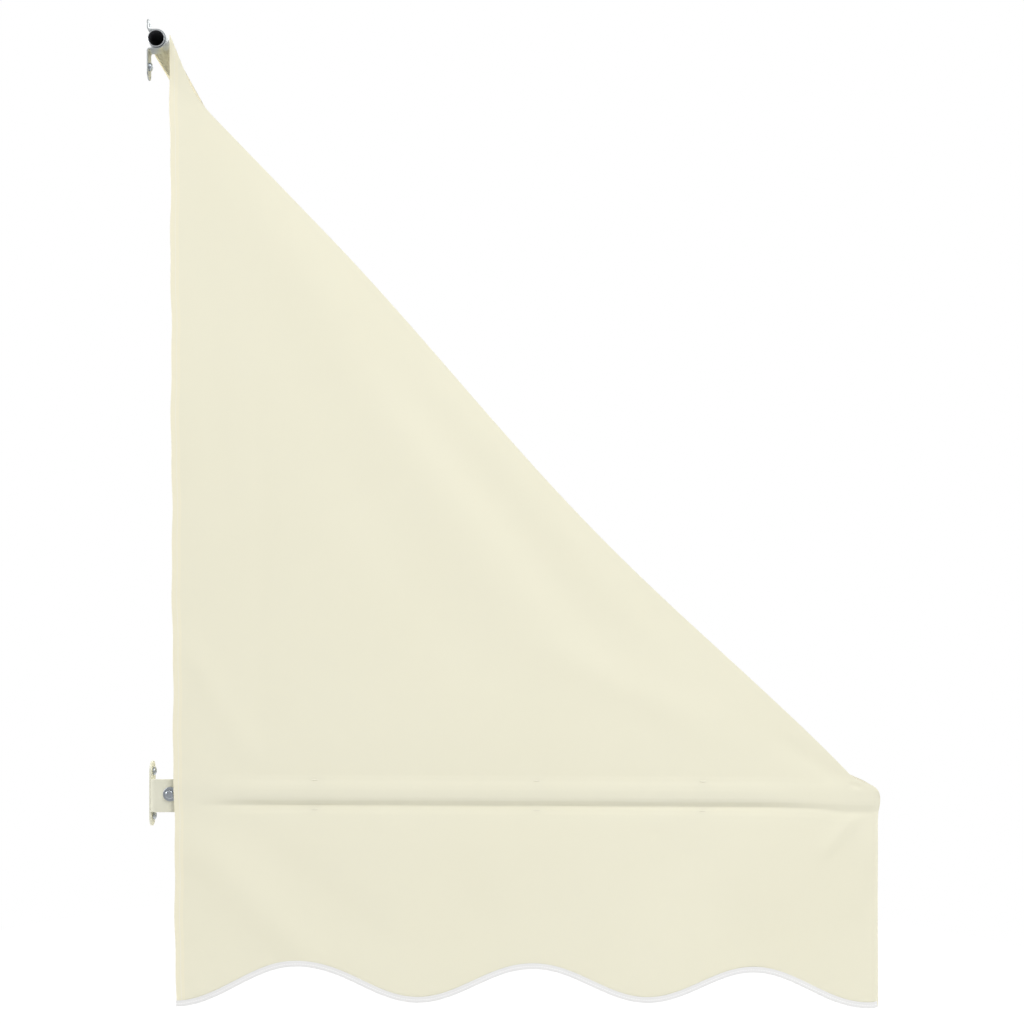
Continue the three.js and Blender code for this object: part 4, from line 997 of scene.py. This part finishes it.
# %% Straps
STRAP_T = 0.0012
STRAP_HALF = 0.01
ARM_X = abs(np.round(np.mean(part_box("left_arm"), axis=0)[0], 6))
ARM_LENGTH = math.hypot(BAR[0] - PIVOT[0], BAR[1])
ARM_STRAP_Y = [PIVOT[0] - share * ARM_LENGTH for share in (0.21, 0.53, 0.77)]
BAR_STRAP_SHARES = [-0.69, -0.23, 0.23, 0.69]
STRAP_REACH = 0.032
STRAP_LEAVES = 0.02
ARM_STRAP_TURN, BAR_STRAP_TURN = (58, 294), (-128, 52)
STRAP_CLEAR = 0.0004
STRAP_INSET = CLOTH_T / 2 + STRAP_CLEAR + STRAP_T / 2
STRAP_R = TUBE_R + STRAP_CLEAR + STRAP_T / 2
BAR_SEWN = (-0.046, -0.02)
SLOPE_SEWN = (0.994, 0.972)
SLOPE_CLEAR = 0.0012


def dense(line, step=0.0015):
    """The same bent line with points at even distances, and those distances from its start."""
    line = np.asarray(line, float)
    length = running_length(line)
    at = np.linspace(0, length[-1], max(int(length[-1] / step), 2))
    return np.stack([np.interp(at, length, line[:, k]) for k in range(line.shape[1])], axis=-1), at


def sew_strap(name, line, width_axis):
    """A strip: a bent line in space, times a straight width along one axis. It rides with the frame."""
    line, at = dense(line)
    across = np.linspace(-STRAP_HALF, STRAP_HALF, 9)
    middle = line[:, None] + across[None, :, None] * np.asarray(width_axis, float)
    attributes = {"from_hem": STRAP_HALF - np.abs(across), "along_hem": at[:, None]}
    uv = together(at[:, None], across)
    strap = sheet_object(f"{name}_webbing", middle, STRAP_T, STRAP, uv, attributes, 60)
    join(strap, name, "front_frame")
    return strap


def arm_strap_line(y, side):
    """Round the arm from above to below, with both ends on the side panel's inner face."""
    axis_z = arm_axis_z(y)
    ends = []
    for heights in (np.linspace(STRAP_REACH, STRAP_LEAVES, 5), np.linspace(-STRAP_LEAVES, -STRAP_REACH, 5)):
        z = axis_z + heights
        ends.append(together(side_out(y, z) + relief(y, z, side) - STRAP_INSET, y, z))
    turn = np.radians(np.linspace(*ARM_STRAP_TURN, 24))
    loop = together(ARM_X + STRAP_R * np.cos(turn), y, axis_z + STRAP_R * np.sin(turn))
    return np.concatenate([ends[0], loop, ends[1]]) * np.array([side, 1, 1])


def bar_strap_line(across):
    """Up the valance's inner face, behind the bar and on under the slope."""
    x = across * FRONT_HALF
    z = np.linspace(BAR[1] + BAR_SEWN[0], BAR[1] + BAR_SEWN[1], 6)
    front = together(x, valance_y(across, z) + STRAP_INSET, z)
    turn = np.radians(np.linspace(*BAR_STRAP_TURN, 22))
    loop = together(x, BAR[0] + STRAP_R * np.cos(turn), BAR[1] + STRAP_R * np.sin(turn))
    share = np.linspace(*SLOPE_SEWN, 5)
    drop = (STRAP_INSET + SLOPE_CLEAR) * math.sqrt(2)
    under = together(x, lerp(HEAD[0], FOOT[0], share), slope_z(share, across) - drop)
    return np.concatenate([front, loop, under])


straps = {"left": [], "right": [], "bar": []}
for side_name, side in SIDES.items():
    for number, y in enumerate(ARM_STRAP_Y, 1):
        line = arm_strap_line(y, side)
        straps[side_name].append(sew_strap(f"{side_name}_arm_strap_{number}", line, (0, 1, 0)))
for number, across in enumerate(BAR_STRAP_SHARES, 1):
    straps["bar"].append(sew_strap(f"bar_strap_{number}", bar_strap_line(across), (1, 0, 0)))
print("straps", sum(len(group) for group in straps.values()))

# %% [markdown]
# ## Bar tacks
# Where a strap is sewn on, the machine goes back and forth over a few millimetres, and a small hard bar of
# thread shows on the outside. Each is a low mound with ribs across it, and sits on the cloth's outer face.

# %% Bar tacks
TACK_HALF = (0.0055, 0.0011)
TACK_LIFT = 0.0009
TACK_HEIGHTS = (0.0262, -0.0232)


def tack_points(y, z, side):
    """A closed mound on the side panel: an ellipse times a row of small ribs, in rings along it."""
    u = np.linspace(-1, 1, 25)[:, None]
    turn = np.linspace(0, 2 * np.pi, 13)[None, :-1]
    swell = np.sqrt(np.clip(1 - u**2, 0.0004, 1)) * (1 + 0.18 * np.cos(u * 26))
    ys = y + u * TACK_HALF[0] + 0 * turn
    zs = z + TACK_HALF[1] * swell * np.cos(turn)
    lift = TACK_LIFT * swell * np.sin(turn)
    base = side_surface(ys, zs, side)
    base[..., 0] += side * (CLOTH_T / 2 + 0.0001 + lift)
    return base


def turned_out(mesh, merge=False):
    """Turns a closed mesh's faces outwards, after merging the loose triangles of a construction part."""
    shell = bmesh.new()
    shell.from_mesh(mesh)
    if merge:
        bmesh.ops.remove_doubles(shell, verts=shell.verts, dist=1e-6)
        bmesh.ops.dissolve_limit(shell, angle_limit=math.radians(0.5), verts=shell.verts, edges=shell.edges)
    bmesh.ops.recalc_face_normals(shell, faces=shell.faces)
    shell.to_mesh(mesh)
    shell.free()
    return mesh


def shell_object(name, tubes, material, sharp):
    """Closed shells in one mesh: each is a grid of rings, walled ring to ring and capped at both ends."""
    points, faces, offset = [], [], 0
    for grid in tubes:
        index = np.arange(grid.shape[0] * grid.shape[1]).reshape(grid.shape[:2]) + offset
        following = np.roll(index, -1, axis=1)
        walls = np.stack([index[:-1], following[:-1], following[1:], index[1:]], axis=-1)
        faces += walls.reshape(-1, 4).tolist() + [index[0, ::-1].tolist(), index[-1].tolist()]
        points += grid.reshape(-1, 3).tolist()
        offset += index.size
    mesh = bpy.data.meshes.new(name)
    mesh.from_pydata(points, [], faces)
    return finished_object(turned_out(mesh), material, sharp)


tacks = {}
for side_name, side in SIDES.items():
    mounds = [tack_points(y, arm_axis_z(y) + height, side) for y in ARM_STRAP_Y for height in TACK_HEIGHTS]
    tacks[side_name] = shell_object(f"{side_name}_bar_tacks", mounds, STRAP, 180)
    fan(tacks[side_name])
print("bar tacks", {key: len(value.data.polygons) for key, value in tacks.items()})

# %% [markdown]
# ## Cloth pieces join the frame
# Each piece says which construction part it stands for and how it moves. The covers and the valances are
# parts of the same cut, so they replace one node together.

for side_name in SIDES:
    cover, valance, tape = side_covers[side_name], side_valances[side_name], tapes[side_name]
    join(cover, f"{side_name}_side_panel")
    join(valance, f"{side_name}_side_panel")
    join(tape, f"{side_name}_side_binding")
    fan(cover)
    shrink(valance)
    shrink(tape)
join(top_cover, "top_panel")
join(front_valance, "top_panel")
join(tapes["front"], "front_binding")
fan(top_cover)
shrink(front_valance)
shrink(tapes["front"])
print("cloth joined")

# %% [markdown]
# ## Metal with soft edges
# The construction model's parts are exact but faceted: a tube there is a prism with many sides, and its
# edges are razor sharp. Pressed steel isn't. A copy of each part is merged into one skin, shaded round
# where neighbouring faces almost agree, and its true edges get a small bevel that catches light.

# %% Smoothed copies of the metal parts
ROUND_BELOW = 33
EDGE_ROUND = 0.00035


def smoothed(node, finish_slot, body, edge=EDGE_ROUND):
    """A merged copy of a construction part with round shading, bevelled edges and its finish."""
    mesh = bpy.data.objects[node].data.copy()
    mesh.name = f"{node}_skin"
    skin = finished_object(turned_out(mesh, merge=True), METALS[finish_slot], ROUND_BELOW)
    if edge:
        bevel = skin.modifiers.new("edge", "BEVEL")
        bevel.width = edge
        bevel.segments = 2
        bevel.limit_method = "ANGLE"
        bevel.angle_limit = math.radians(ROUND_BELOW)
        bevel.harden_normals = True
    join(skin, node, body)


smoothed("top_tube", "tube_steel", "wall_frame", 0.0002)
smoothed("front_bar", "tube_steel", "front_frame", 0.0002)
for side_name in SIDES:
    smoothed(f"{side_name}_tube_saddle", "saddle_steel", "wall_frame")
    smoothed(f"{side_name}_wall_bracket", "bracket_steel", "wall_frame")
    smoothed(f"{side_name}_arm", "tube_steel", "front_frame", 0)
    smoothed(f"{side_name}_corner_elbow", "elbow_plastic", "front_frame", 0)
    for name in ("pivot_bolt", "pivot_nut", "pivot_washer_outer", "pivot_washer_inner"):
        smoothed(f"{side_name}_{name}", "fastener_steel", "wall_frame", 0.00015)
print("smoothed parts ready")

# %% [markdown]
# ## Screws with a cross
# A pan-head screw is a round profile turned about its axis, with a cross pressed into the head. On a polar
# grid both are one height: the profile's height at a radius, less the cross's depth where the point lies
# within an arm of the cross. Wall screws end at the wall, so only their first millimetres are made.

# %% Screws
WALL_SCREWS = {"saddle_screw": 0.002, "bracket_screw_upper": 0.003, "bracket_screw_lower": 0.003}
WALL_HEAD, WALL_SHANK = 0.005, 0.0028
ELBOW_HEAD, ELBOW_SHANK, ELBOW_DEEP = 0.0026, 0.002, 0.01


def screw_object(node, axis, seat_at, head_h, shank_r, length, body):
    """Rings from the head's middle outwards, down its side, in to the shank and down to its tip.

    The head's radius and the axis's place come from the construction screw's box.
    """
    low, high = np.array(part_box(node))
    head_r = (high[0] - low[0]) / 2
    seat = np.where(axis, seat_at, (low + high) / 2)
    turn = np.linspace(0, 2 * np.pi, 64, endpoint=False)[None, :]
    inner = np.linspace(0.04, 1, 26)
    crown = head_h * (0.35 + 0.65 * np.sqrt(np.clip(1 - (inner * 0.97) ** 2.4, 0, 1)))
    radii = np.concatenate([inner * head_r, [head_r, head_r * 0.99, shank_r, shank_r, shank_r * 0.6]])
    heights = np.concatenate([crown, [head_h * 0.12, 0.0, 0.0, -length + shank_r * 0.4, -length]])
    x, y = radii[:, None] * np.cos(turn), radii[:, None] * np.sin(turn)
    in_cross = np.maximum(cross_arm(x, y, head_r), cross_arm(y, x, head_r))
    on_crown = (np.arange(len(radii)) < len(inner))[:, None]
    z = heights[:, None] - on_crown * in_cross * head_h * 0.55
    out = Vector(axis).normalized()
    turned = np.array(Vector((0, 0, 1)).rotation_difference(out).to_matrix())
    points = together(x, y, z) @ turned.T + seat
    screw = shell_object(f"{node}_turned", [points], METALS["fastener_steel"], 50)
    join(screw, node, body)


def cross_arm(across, along, head_r):
    """1 inside one arm of the cross, which is narrow across and long along, fading to 0 at its edges."""
    half, reach = head_r * 0.13, head_r * 0.52
    narrow = smooth(half * 1.35, half * 0.75, np.abs(across))
    return narrow * smooth(reach * 1.12, reach * 0.92, np.abs(along))


for side_name in SIDES:
    for place, deep in WALL_SCREWS.items():
        node = f"{side_name}_{place}"
        seat_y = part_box(node)[1][1] - deep
        screw_object(node, (0, -1, 0), seat_y, WALL_HEAD, WALL_SHANK, deep, "wall_frame")
    for place in ("elbow_screw_arm", "elbow_screw_bar"):
        node = f"{side_name}_{place}"
        seat_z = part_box(node)[0][2] + ELBOW_HEAD
        screw_object(node, (0, 0, -1), seat_z, ELBOW_HEAD, ELBOW_SHANK, ELBOW_DEEP, "front_frame")
print("screws ready")
